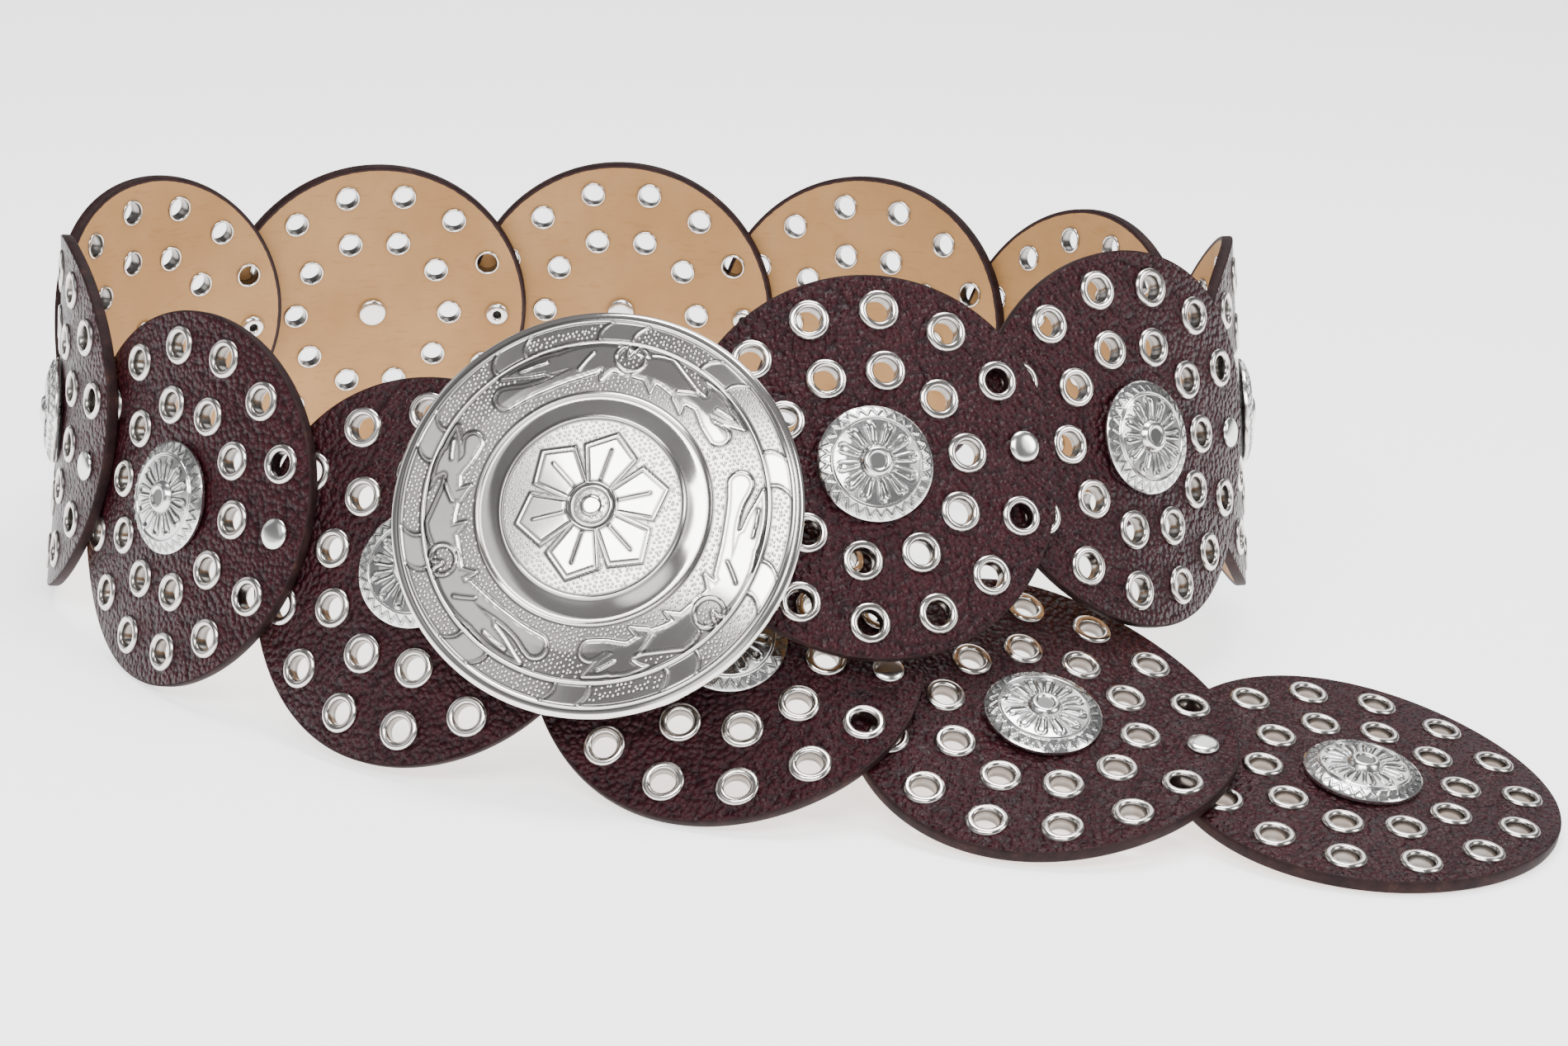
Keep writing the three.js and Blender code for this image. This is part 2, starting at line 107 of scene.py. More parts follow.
def shift(x, y, z):
    return np.array(Matrix.Translation((x, y, z)))


ROWS = [
    {
        "bend": math.radians(row["bend"]) / (2 * OUTER_RING),
        "twist": math.radians(row["twist"]) / (2 * OUTER_RING),
        "turn": row["turn"],
        "grain": row["grain"],
    }
    for row in DISCS
]


def bent(row, points):
    """Points of the flat leather (along, up, out) moved to where bending and twisting bring them."""
    along, up, out = np.asarray(points, float).T
    arc = row["bend"] * along
    turn = row["twist"] * along
    forward = np.sin(arc) / row["bend"]
    inward = (1 - np.cos(arc)) / row["bend"]
    facing = np.stack([np.sin(arc), np.zeros_like(arc), np.cos(arc)], 1)
    upright = np.array([0.0, 1.0, 0.0])
    up_way = np.cos(turn)[:, None] * upright - np.sin(turn)[:, None] * facing
    out_way = np.cos(turn)[:, None] * facing + np.sin(turn)[:, None] * upright
    middle = np.stack([forward, np.zeros_like(arc), -inward], 1)
    return middle + up[:, None] * up_way + out[:, None] * out_way


def frame_at(row, along, up=0.0):
    """The frame on a bent disc: X along, Y up, Z out."""
    arc = row["bend"] * along
    turn = row["twist"] * along
    facing = np.array([math.sin(arc), 0, math.cos(arc)])
    upright = np.array([0.0, 1.0, 0.0])
    frame_here = np.eye(4)
    frame_here[:3, 0] = (math.cos(arc), 0, -math.sin(arc))
    frame_here[:3, 1] = math.cos(turn) * upright - math.sin(turn) * facing
    frame_here[:3, 2] = math.cos(turn) * facing + math.sin(turn) * upright
    frame_here[:3, 3] = bent(row, [(along, up, 0.0)])[0]
    return frame_here


def spacing(row, following):
    width = DISC_RADIUS - OUTER_RING
    height = math.sqrt(DISC_RADIUS ** 2 - OUTER_RING ** 2)
    bend_part = abs(row["bend"] - following["bend"]) * width ** 2 / 2
    twist_part = 0.4 * abs(row["twist"] - following["twist"]) * width * height
    return LEATHER + GAP + bend_part + twist_part


def walk():
    """The place of each disc, one after the other."""
    start = shift(FIRST["x"], FIRST["y"], FIRST["z"]) @ spin("Z", FIRST["yaw"])
    places = [start @ spin("X", 90 - FIRST["lean"]) @ spin("Z", FIRST["roll"])]
    for before, row in zip(ROWS, ROWS[1:]):
        step = frame_at(before, OUTER_RING) @ shift(0, 0, -spacing(before, row))
        step = step @ spin("Z", row["turn"]) @ np.linalg.inv(frame_at(row, -OUTER_RING))
        places.append(places[-1] @ step)
    return places


PLACES = walk()
BAR_ALONG = -(DISC_RADIUS + GAP + BAR_RADIUS)
BUCKLE_PLACE = (
    PLACES[0] @ frame_at(ROWS[0], BAR_ALONG) @ spin("Y", BUCKLE_SWING)
    @ shift(-BAR_OFFSET, -BAR_RISE, BAR_DEPTH)
)


def moved(place, points):
    points = np.asarray(points, float)
    return points @ place[:3, :3].T + place[:3, 3]


# Meshes

def build(name, points, faces, looks, face_looks=None, sharp=None, values=None):
    """A piece from points in millimetres, already in the belt's frame."""
    mesh = bpy.data.meshes.new(name)
    mesh.from_pydata((np.asarray(points) * MM).tolist(), [], faces)
    for look in looks:
        mesh.materials.append(look)
    if face_looks is not None:
        mesh.polygons.foreach_set("material_index", np.asarray(face_looks, dtype=np.int32))
    mesh.polygons.foreach_set("use_smooth", np.ones(len(mesh.polygons), dtype=bool))
    for key, numbers in (values or {}).items():
        layer = mesh.attributes.new(key, "FLOAT", "POINT")
        layer.data.foreach_set("value", np.asarray(numbers, dtype=np.float32))
    if sharp is not None:
        mesh.set_sharp_from_angle(angle=math.radians(sharp))
    mesh.validate()
    piece = bpy.data.objects.new(name, mesh)
    bpy.context.scene.collection.objects.link(piece)
    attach(piece, "root")
    return piece


def turned(profile, sides):
    """Points and faces of a profile [(radius, height)] turned round Z. Radius 0 is one point."""
    points = []
    rings = []
    for radius, height in profile:
        first = len(points)
        if radius == 0:
            points.append((0.0, 0.0, height))
            rings.append([first] * sides)
            continue
        for k in range(sides):
            angle = 2 * math.pi * k / sides
            points.append((radius * math.cos(angle), radius * math.sin(angle), height))
        rings.append(list(range(first, first + sides)))
    faces = []
    for low, high in zip(rings, rings[1:]):
        for k in range(sides):
            n = (k + 1) % sides
            face = list(dict.fromkeys((low[k], low[n], high[n], high[k])))
            if len(face) > 2:
                faces.append(face)
    return np.array(points), faces


def joined(parts):
    """Several (points, faces) as one."""
    points = []
    faces = []
    first = 0
    for part_points, part_faces in parts:
        points.append(part_points)
        faces.extend([tuple(k + first for k in face) for face in part_faces])
        first += len(part_points)
    return np.concatenate(points), faces


def polar(count, radius, start=0.0):
    angles = start + 2 * math.pi * np.arange(count) / count
    return np.stack([radius * np.cos(angles), radius * np.sin(angles)], 1)


# Materials

def new_material(name):
    material = bpy.data.materials.new(name)
    material.use_nodes = True
    nodes = material.node_tree.nodes
    shader = nodes["Principled BSDF"]
    return material, nodes, material.node_tree.links, shader


def add_node(nodes, kind, **inputs):
    node = nodes.new(kind)
    for key, value in inputs.items():
        node.inputs[key.replace("_", " ")].default_value = value
    return node


def ramp(nodes, links, source, stops):
    node = nodes.new("ShaderNodeValToRGB")
    while len(node.color_ramp.elements) < len(stops):
        node.color_ramp.elements.new(0.5)
    for element, (place, color) in zip(node.color_ramp.elements, stops):
        element.position = place
        element.color = (*color, 1.0)
    links.new(source, node.inputs["Fac"])
    return node


def bumps(nodes, links, shader, layers):
    """Chains bump nodes: (height socket, distance in metres, strength)."""
    last = None
    for height, distance, strength in layers:
        bump = nodes.new("ShaderNodeBump")
        bump.inputs["Distance"].default_value = distance
        bump.inputs["Strength"].default_value = strength
        links.new(height, bump.inputs["Height"])
        if last is not None:
            links.new(last.outputs["Normal"], bump.inputs["Normal"])
        last = bump
    links.new(last.outputs["Normal"], shader.inputs["Normal"])


def object_space(nodes):
    return nodes.new("ShaderNodeTexCoord").outputs["Object"]


def leather_outer():
    """Dark oxblood leather with a pebbled grain that catches small glints."""
    material, nodes, links, shader = new_material("leather_outer")
    place = object_space(nodes)
    drift = add_node(nodes, "ShaderNodeTexNoise", Scale=700.0, Detail=2.0, Roughness=0.5)
    links.new(place, drift.inputs["Vector"])
    centred = nodes.new("ShaderNodeVectorMath")
    centred.operation = "MULTIPLY_ADD"
    centred.inputs[1].default_value = (0.0011, 0.0011, 0.0011)
    links.new(drift.outputs["Color"], centred.inputs[0])
    links.new(place, centred.inputs[2])
    pebble = add_node(nodes, "ShaderNodeTexVoronoi", Scale=650.0, Randomness=1.0)
    pebble.feature = "SMOOTH_F1"
    pebble.inputs["Smoothness"].default_value = 0.35
    links.new(centred.outputs["Vector"], pebble.inputs["Vector"])
    fine = add_node(nodes, "ShaderNodeTexNoise", Scale=2600.0, Detail=3.0, Roughness=0.65)
    links.new(place, fine.inputs["Vector"])
    broad = add_node(nodes, "ShaderNodeTexNoise", Scale=70.0, Detail=4.0, Roughness=0.6)
    links.new(place, broad.inputs["Vector"])
    grain = ramp(nodes, links, pebble.outputs["Distance"], [
        (0.0, (0.036, 0.0072, 0.0105)),
        (0.40, (0.028, 0.0056, 0.0082)),
        (0.75, (0.012, 0.0026, 0.0040)),
    ])
    tint = ramp(nodes, links, broad.outputs["Fac"], [
        (0.3, (0.78, 0.76, 0.80)),
        (0.7, (1.15, 1.08, 1.08)),
    ])
    mix = nodes.new("ShaderNodeMixRGB")
    mix.blend_type = "MULTIPLY"
    mix.inputs["Fac"].default_value = 1.0
    links.new(grain.outputs["Color"], mix.inputs["Color1"])
    links.new(tint.outputs["Color"], mix.inputs["Color2"])
    links.new(mix.outputs["Color"], shader.inputs["Base Color"])
    shader.inputs["Roughness"].default_value = 0.30
    shader.inputs["Specular IOR Level"].default_value = 0.15
    grain_depth = nodes.new("ShaderNodeAttribute")
    grain_depth.attribute_name = "grain"
    height = nodes.new("ShaderNodeMath")
    height.operation = "MULTIPLY"
    links.new(pebble.outputs["Distance"], height.inputs[0])
    links.new(grain_depth.outputs["Fac"], height.inputs[1])
    bumps(nodes, links, shader, [
        (height.outputs["Value"], -0.0013, 1.0),
        (fine.outputs["Fac"], 0.00014, 0.4),
    ])
    return material


def leather_inner():
    """The tan flesh side: smooth, with faint fibres, stains, and edge paint run over its rim."""
    material, nodes, links, shader = new_material("leather_inner")
    place = object_space(nodes)
    fibre = add_node(nodes, "ShaderNodeTexNoise", Scale=900.0, Detail=5.0, Roughness=0.7)
    links.new(place, fibre.inputs["Vector"])
    stain = add_node(nodes, "ShaderNodeTexNoise", Scale=28.0, Detail=5.0, Roughness=0.62)
    links.new(place, stain.inputs["Vector"])
    stretch = add_node(nodes, "ShaderNodeMapping", Scale=(160.0, 160.0, 900.0), Rotation=(0.0, 0.5, 0.3))
    links.new(place, stretch.inputs["Vector"])
    scratch = add_node(nodes, "ShaderNodeTexNoise", Scale=1.0, Detail=2.0, Roughness=0.5)
    links.new(stretch.outputs["Vector"], scratch.inputs["Vector"])
    tan = ramp(nodes, links, stain.outputs["Fac"], [
        (0.28, (0.315, 0.163, 0.058)),
        (0.5, (0.360, 0.195, 0.074)),
        (0.75, (0.410, 0.232, 0.096)),
    ])
    lines = ramp(nodes, links, scratch.outputs["Fac"], [
        (0.30, (0.82, 0.76, 0.70)),
        (0.42, (1.0, 1.0, 1.0)),
    ])
    mix = nodes.new("ShaderNodeMixRGB")
    mix.blend_type = "MULTIPLY"
    mix.inputs["Fac"].default_value = 0.5
    links.new(tan.outputs["Color"], mix.inputs["Color1"])
    links.new(lines.outputs["Color"], mix.inputs["Color2"])
    painted = nodes.new("ShaderNodeAttribute")
    painted.attribute_name = "painted"
    ragged = add_node(nodes, "ShaderNodeTexNoise", Scale=420.0, Detail=3.0)
    links.new(place, ragged.inputs["Vector"])
    reach = nodes.new("ShaderNodeMath")
    reach.operation = "MULTIPLY_ADD"
    reach.inputs[1].default_value = 0.34
    links.new(ragged.outputs["Fac"], reach.inputs[0])
    links.new(painted.outputs["Fac"], reach.inputs[2])
    covered = ramp(nodes, links, reach.outputs["Value"], [
        (0.60, (0.0, 0.0, 0.0)),
        (0.68, (1.0, 1.0, 1.0)),
    ])
    coat = nodes.new("ShaderNodeMixRGB")
    links.new(covered.outputs["Color"], coat.inputs["Fac"])
    links.new(mix.outputs["Color"], coat.inputs["Color1"])
    coat.inputs["Color2"].default_value = (0.020, 0.007, 0.008, 1.0)
    links.new(coat.outputs["Color"], shader.inputs["Base Color"])
    shader.inputs["Roughness"].default_value = 0.62
    shader.inputs["Specular IOR Level"].default_value = 0.3
    bumps(nodes, links, shader, [
        (fibre.outputs["Fac"], 0.00010, 0.4),
        (scratch.outputs["Fac"], 0.00010, 0.25),
    ])
    return material


def leather_edge():
    """The cut edge: painted dark, worn through to brown in places, with rough fibres."""
    material, nodes, links, shader = new_material("leather_edge")
    place = object_space(nodes)
    wear = add_node(nodes, "ShaderNodeTexNoise", Scale=240.0, Detail=5.0, Roughness=0.7)
    links.new(place, wear.inputs["Vector"])
    fibre = add_node(nodes, "ShaderNodeTexNoise", Scale=1600.0, Detail=4.0, Roughness=0.7)
    links.new(place, fibre.inputs["Vector"])
    color = ramp(nodes, links, wear.outputs["Fac"], [
        (0.35, (0.010, 0.0045, 0.0050)),
        (0.60, (0.022, 0.0090, 0.0090)),
        (0.80, (0.060, 0.030, 0.020)),
    ])
    links.new(color.outputs["Color"], shader.inputs["Base Color"])
    shader.inputs["Roughness"].default_value = 0.6
    shader.inputs["Specular IOR Level"].default_value = 0.12
    bumps(nodes, links, shader, [
        (wear.outputs["Fac"], 0.0003, 0.4),
        (fibre.outputs["Fac"], 0.00015, 0.6),
    ])
    return material


def nickel(name, tone, rough, scale):
    """Bright plate with faint smears and fine scratches."""
    material, nodes, links, shader = new_material(name)
    place = object_space(nodes)
    smear = add_node(nodes, "ShaderNodeTexNoise", Scale=scale, Detail=4.0, Roughness=0.6)
    links.new(place, smear.inputs["Vector"])
    color = ramp(nodes, links, smear.outputs["Fac"], [
        (0.3, tuple(0.86 * part for part in tone)),
        (0.7, tone),
    ])
    gloss = ramp(nodes, links, smear.outputs["Fac"], [
        (0.3, (rough + 0.08,) * 3),
        (0.7, (rough,) * 3),
    ])
    links.new(color.outputs["Color"], shader.inputs["Base Color"])
    links.new(gloss.outputs["Color"], shader.inputs["Roughness"])
    shader.inputs["Metallic"].default_value = 1.0
    scratch = add_node(nodes, "ShaderNodeTexNoise", Scale=scale * 9, Detail=2.0)
    links.new(place, scratch.inputs["Vector"])
    bumps(nodes, links, shader, [(scratch.outputs["Fac"], 0.00004, 0.15)])
    return material


def painted_shade_bore():
    """Painted shade for the bore of a tubular rivet: a dull, nearly black material standing in for the shade down
    the hole.
    """
    material, nodes, links, shader = new_material("rivet_bore_painted_shade")
    shade_mottle = add_node(nodes, "ShaderNodeTexNoise", Scale=800.0, Detail=2.0)
    links.new(object_space(nodes), shade_mottle.inputs["Vector"])
    color = ramp(nodes, links, shade_mottle.outputs["Fac"], [
        (0.3, (0.010, 0.009, 0.008)),
        (0.7, (0.030, 0.027, 0.024)),
    ])
    links.new(color.outputs["Color"], shader.inputs["Base Color"])
    shader.inputs["Roughness"].default_value = 0.7
    return material


def silver(name, tone, rough):
    """Antiqued silver: dark with patina in its hollows and on the ground between its beads; the same darkening
    also carries painted shade on the eyelets and a painted shadow round the foot of each bead.
    """
    material, nodes, links, shader = new_material(name)
    place = object_space(nodes)
    # Patina in the hollows of the conchos and buckle; on the eyelets and beads this value is painted shade and
    # painted shadow.
    patina_and_shade = nodes.new("ShaderNodeAttribute")
    patina_and_shade.attribute_name = "patina_and_shade"
    stipple = nodes.new("ShaderNodeAttribute")
    stipple.attribute_name = "stipple"
    smear = add_node(nodes, "ShaderNodeTexNoise", Scale=120.0, Detail=5.0, Roughness=0.6)
    links.new(place, smear.inputs["Vector"])
    dark = nodes.new("ShaderNodeMath")
    dark.operation = "MULTIPLY_ADD"
    dark.use_clamp = True
    dark.inputs[1].default_value = 0.24
    links.new(stipple.outputs["Fac"], dark.inputs[0])
    links.new(patina_and_shade.outputs["Fac"], dark.inputs[2])
    color = ramp(nodes, links, dark.outputs["Value"], [
        (0.0, tone),
        (0.5, tuple(0.26 * part for part in tone)),
        (1.0, (0.022, 0.021, 0.020)),
    ])
    tint = ramp(nodes, links, smear.outputs["Fac"], [
        (0.3, (0.90, 0.89, 0.88)),
        (0.7, (1.0, 1.0, 1.0)),
    ])
    mix = nodes.new("ShaderNodeMixRGB")
    mix.blend_type = "MULTIPLY"
    mix.inputs["Fac"].default_value = 1.0
    links.new(color.outputs["Color"], mix.inputs["Color1"])
    links.new(tint.outputs["Color"], mix.inputs["Color2"])
    links.new(mix.outputs["Color"], shader.inputs["Base Color"])
    shader.inputs["Metallic"].default_value = 1.0
    gloss = ramp(nodes, links, dark.outputs["Value"], [
        (0.0, (rough,) * 3),
        (1.0, (rough + 0.25,) * 3),
    ])
    links.new(gloss.outputs["Color"], shader.inputs["Roughness"])
    bumps(nodes, links, shader, [(smear.outputs["Fac"], 0.00006, 0.15)])
    return material


OUTER = leather_outer()
INNER = leather_inner()
EDGE = leather_edge()
EYELET = silver("eyelet_nickel", (0.76, 0.72, 0.68), 0.13)
RIVET = nickel("rivet_nickel", (0.84, 0.83, 0.81), 0.14, 140.0)
# Painted shade for the rivets' bores.
BORE = painted_shade_bore()
CONCHO = silver("concho_silver", (0.80, 0.80, 0.79), 0.16)
BUCKLE = silver("buckle_silver", (0.86, 0.83, 0.80), 0.10)


# Leather discs

EDGE_ROUND = [(0.55, 1.0), (0.2, 0.93), (0.0, 0.62), (0.0, 0.0), (0.0, -0.62), (0.2, -0.93), (0.55, -1.0)]
OUTLINE_COUNT = 168
EYELET_HOLE_COUNT = 16
GRAIN_STEP = 3.2
PAINT_REACH = 1.3


def hole_places(number):
    """Flat places of a disc's eyelets and of its rivet holes."""
    last = number == len(ROWS) - 1
    outer = polar(OUTER_HOLES, OUTER_RING)
    keep = [k for k in range(OUTER_HOLES) if k != OUTER_HOLES // 2 and (k != 0 or last)]
    inner = polar(INNER_HOLES, INNER_RING)
    eyelets = np.concatenate([outer[keep], inner])
    rivets = [outer[OUTER_HOLES // 2]] if last else [outer[0], outer[OUTER_HOLES // 2]]
    return eyelets, np.array(rivets)


def flat_disc(number):
    """Flat triangles of the disc's face inside its rounded edge, with every hole left open."""
    eyelets, rivets = hole_places(number)
    rim = DISC_RADIUS - EDGE_ROUND[0][0]
    loops = [polar(OUTLINE_COUNT, rim)]
    loops += [polar(EYELET_HOLE_COUNT, EYELET_BARREL) + place for place in eyelets]
    loops += [polar(EYELET_HOLE_COUNT, RIVET_POST + 0.1) + place for place in rivets]
    loops.append(polar(EYELET_HOLE_COUNT, RIVET_POST + 0.1))
    centres = np.concatenate([eyelets, rivets, [(0.0, 0.0)]])
    radii = [EYELET_BARREL] * len(eyelets) + [RIVET_POST + 0.1] * (len(rivets) + 1)
    radii = np.array(radii)
    count = int(rim // GRAIN_STEP) + 1
    grid = [
        (GRAIN_STEP * (i + 0.5 * (j % 2)), GRAIN_STEP * 0.866 * j)
        for i in range(-count, count + 1)
        for j in range(-count - 2, count + 3)
    ]
    grid = np.array(grid)
    free = np.hypot(*grid.T) < rim - PAINT_REACH - 0.35 * GRAIN_STEP
    apart = np.linalg.norm(grid[:, None] - centres[None], axis=2) - radii[None]
    grid = grid[free & (apart.min(axis=1) > 0.35 * GRAIN_STEP)]
    points = np.concatenate(loops + [polar(OUTLINE_COUNT, rim - PAINT_REACH), grid])
    edges = []
    first = 0
    for loop in loops:
        size = len(loop)
        edges += [(first + k, first + (k + 1) % size) for k in range(size)]
        first += size
    out = delaunay_2d_cdt([Vector(p) for p in points], edges, [], 0, 1e-6)
    flat = np.array([tuple(p) for p in out[0]])
    faces = np.array([tuple(face) for face in out[2]])
    middles = flat[faces].mean(axis=1)
    inside = np.linalg.norm(middles[:, None] - centres[None], axis=2) < radii[None] * 0.98
    faces = faces[~inside.any(axis=1)]
    a, b, c = flat[faces[:, 0]], flat[faces[:, 1]], flat[faces[:, 2]]
    area = (b[:, 0] - a[:, 0]) * (c[:, 1] - a[:, 1]) - (b[:, 1] - a[:, 1]) * (c[:, 0] - a[:, 0])
    faces[area < 0] = faces[area < 0][:, ::-1]
    return flat, faces, rim


def open_edges(faces):
    """Edges that only one face has, in that face's direction."""
    seen = {}
    for a, b, c in faces.tolist():
        for edge in ((a, b), (b, c), (c, a)):
            if edge[::-1] in seen:
                del seen[edge[::-1]]
            else:
                seen[edge] = True
    return list(seen)


def make_disc(number):
    row = ROWS[number]
    flat, faces, rim = flat_disc(number)
    half = LEATHER / 2
    count = len(flat)
    up_side = np.column_stack([flat, np.full(count, half)])
    down_side = np.column_stack([flat, np.full(count, -half)])
    points = [up_side, down_side]
    polygons = [tuple(face) for face in faces]
    looks = [0] * len(faces)
    polygons += [tuple(k + count for k in face[::-1]) for face in faces]
    looks += [1] * len(faces)
    order = {}
    for a, b in open_edges(faces):
        if math.hypot(*flat[a]) > rim - 0.01 and math.hypot(*flat[b]) > rim - 0.01:
            order[a] = b
            continue
        polygons.append((a, b, b + count, a + count)[::-1])
        looks.append(2)
    around = [next(iter(order))]
    while order[around[-1]] != around[0]:
        around.append(order[around[-1]])
    rings = [around]
    first = 2 * count
    ways = flat[around] / rim
    for inset, height in EDGE_ROUND[1:-1]:
        ring = np.column_stack([ways * (DISC_RADIUS - inset), np.full(len(around), height * half)])
        points.append(ring)
        rings.append(list(range(first, first + len(around))))
        first += len(around)
    rings.append([k + count for k in around])
    for upper, lower in zip(rings, rings[1:]):
        for k in range(len(around)):
            n = (k + 1) % len(around)
            polygons.append((upper[k], lower[k], lower[n], upper[n]))
            looks.append(2)
    flat_points = np.concatenate(points)
    painted = (np.hypot(flat_points[:, 0], flat_points[:, 1]) > rim - 0.01) & (flat_points[:, 2] < 0)
    world = moved(PLACES[number], bent(row, flat_points))
    name = f"disc_{number + 1:02d}"
    values = {"painted": painted.astype(float), "grain": np.full(len(flat_points), row["grain"])}
    piece = build(name, world, polygons, [OUTER, INNER, EDGE], looks, sharp=50, values=values)
    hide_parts(f"leather_disc_{number + 1:02d}")


# Eyelets

EYELET_PROFILE = [
    (EYELET_BORE, -1.3), (EYELET_BORE, 0.0), (EYELET_BORE, 1.5), (3.3, 1.98), (3.7, 2.3), (4.25, 2.4),
    (4.8, 2.27), (5.15, 1.98), (EYELET_FLANGE, 1.66), (EYELET_BARREL, 1.62), (EYELET_BARREL, -1.6),
    (EYELET_BACK, -1.68), (EYELET_BACK, -1.95), (3.7, -2.2), (3.35, -2.15), (3.18, -1.85),
    (EYELET_BORE, -1.3),
]


# How dark each point of the profile is: painted shade down the bore, along the flange's outer edge and under it,
# and inside the rolled back.
EYELET_PAINTED_SHADE = [0.5, 0.35, 0.5, 0.25, 0.0, 0.0, 0.0, 0.15, 0.75, 0.8, 0.8, 0.5, 0.15, 0.0, 0.1, 0.4, 0.5]


def make_eyelets(number):
    """All the eyelets of one disc as one joined mesh, each bent with the leather that it grips."""
    sides = 24
    points, faces = turned(EYELET_PROFILE, sides)
    eyelets, _ = hole_places(number)
    ring = []
    for along, up in eyelets:
        set_in = bent(ROWS[number], points + (along, up, 0.0))
        ring.append((moved(PLACES[number], set_in), faces))
    # Each eyelet's points carry the painted shade of its profile.
    patina_and_shade = np.tile(np.repeat(EYELET_PAINTED_SHADE, sides), len(ring))
    name = f"eyelets_{number + 1:02d}"
    piece = build(name, *joined(ring), [EYELET], sharp=60, values={"patina_and_shade": patina_and_shade})


# Rivets

def make_rivet(name, node, place, top, bottom):
    """A domed cap on the height top, a post, and a rolled tubular back under the height bottom."""
    cap = [(RIVET_CAP, top), (RIVET_CAP + 0.05, top + 0.35), (3.85, top + 0.72), (3.2, top + 1.03)]
    cap += [(2.2, top + 1.22), (1.0, top + 1.31), (0, top + 1.33)]
    back = [(0, bottom + 0.6), (1.2, bottom + 0.6), (1.25, bottom - 0.8), (1.6, bottom - 1.14)]
    back += [(2.3, bottom - 1.2), (3.1, bottom - 0.95), (RIVET_BACK, bottom - 0.3), (RIVET_BACK, bottom)]
    profile = back + [(RIVET_POST, bottom), (RIVET_POST, top)] + cap
    sides = 36
    points, faces = turned(profile, sides)
    # Painted shade: the floor and wall of the rolled back's hole take the nearly black bore material.
    looks = [1 if k < 2 * sides else 0 for k in range(len(faces))]
    piece = build(name, moved(place, points), faces, [RIVET, BORE], looks, sharp=55)
    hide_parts(node)


# Conchos

def ridge(distance, width):
    """A rounded ridge: 1 on the line, 0 beyond its width."""
    return np.clip(1 - np.abs(distance) / width, 0, 1) ** 0.7


def smooth(low, high, value):
    share = np.clip((value - low) / (high - low), 0, 1)
    return share * share * (3 - 2 * share)


def folded(angle, count, start):
    """The angle from the nearest of some even directions."""
    sector = 2 * np.pi / count
    return (angle - math.radians(start) + sector / 2) % sector - sector / 2


def concho_relief(share, angle):
    """Height over the seat, and how dark the metal is, at a share of the radius and an angle."""
    loops = 12
    teeth = 30
    base = np.interp(share, [0, 0.30, 0.55, 0.74, 0.80, 0.97, 1.0], [3.3, 3.25, 3.15, 2.75, 2.5, 1.35, 1.0])
    boss = np.interp(
        share, [0, 0.14, 0.155, 0.19, 0.225, 0.26, 0.285, 0.30],
        [4.2, 4.2, 4.55, 4.7, 4.55, 4.05, 3.5, 3.1],
    )
    height = np.where(share < 0.30, boss, base)
    off = folded(angle, loops, 0.0)
    along = np.clip(share * np.cos(off), 0.36, 0.60)
    half = np.interp(along, [0.36, 0.60], [0.052, 0.082])
    to_core = np.hypot(share * np.cos(off) - along, share * np.sin(off))
    in_loops = smooth(0.32, 0.35, share) * (1 - smooth(0.70, 0.72, share))
    loop = to_core - half
    height = height + in_loops * (0.34 * ridge(loop, 0.020) - 0.25 * smooth(0.0, 0.05, -loop))
    wave = np.abs(((angle * teeth / (2 * np.pi)) % 1.0) - 0.5) * 2
    zigzag = (share - 0.825 - 0.13 * wave) * 0.55
    in_border = smooth(0.800, 0.812, share) * (1 - smooth(0.972, 0.985, share))
    height = height + in_border * 0.34 * ridge(zigzag, 0.013)
    height = height + 0.28 * ridge(share - 0.748, 0.011) + 0.28 * ridge(share - 0.784, 0.011)
    patina_and_shade = 0.85 * in_loops * np.exp(-((np.abs(loop) - 0.028) / 0.012) ** 2)
    patina_and_shade = patina_and_shade + 0.85 * in_border * np.exp(-((np.abs(zigzag) - 0.019) / 0.008) ** 2)
    patina_and_shade = patina_and_shade + 0.5 * np.exp(-((share - 0.766) / 0.007) ** 2)
    patina_and_shade = patina_and_shade + 0.6 * np.exp(-((share - 0.305) / 0.014) ** 2)
    patina_and_shade = patina_and_shade + 0.55 * (1 - smooth(0.13, 0.15, share))
    return height, np.clip(patina_and_shade, 0, 1)


def stand_off(row, radius):
    rise = math.hypot(row["bend"] / 2, row["twist"]) - row["bend"] / 2
    return LEATHER / 2 + GAP + rise * radius ** 2 / 2


def height_field(shares, steps, relief, radius):
    """Points, faces and values of a round relief over a polar grid."""
    angles = 2 * np.pi * np.arange(steps) / steps
    share, angle = np.meshgrid(shares, angles, indexing="ij")
    values = relief(share, angle)
    height = values[0]
    grid = np.stack([radius * share * np.cos(angle), radius * share * np.sin(angle), height], 2)
    points = np.concatenate([[(0.0, 0.0, height[0].mean())], grid.reshape(-1, 3)])
    index = 1 + np.arange(len(shares) * steps).reshape(len(shares), steps)
    faces = [(0, index[0, k], index[0, (k + 1) % steps]) for k in range(steps)]
    inner, outer = index[:-1], index[1:]
    quads = np.stack([inner, outer, np.roll(outer, -1, 1), np.roll(inner, -1, 1)], 2)
    faces += [tuple(quad) for quad in quads.reshape(-1, 4).tolist()]
    kept = [np.concatenate([[value[0].mean()], value.reshape(-1)]) for value in values[1:]]
    return points, faces, kept, index[-1].tolist()


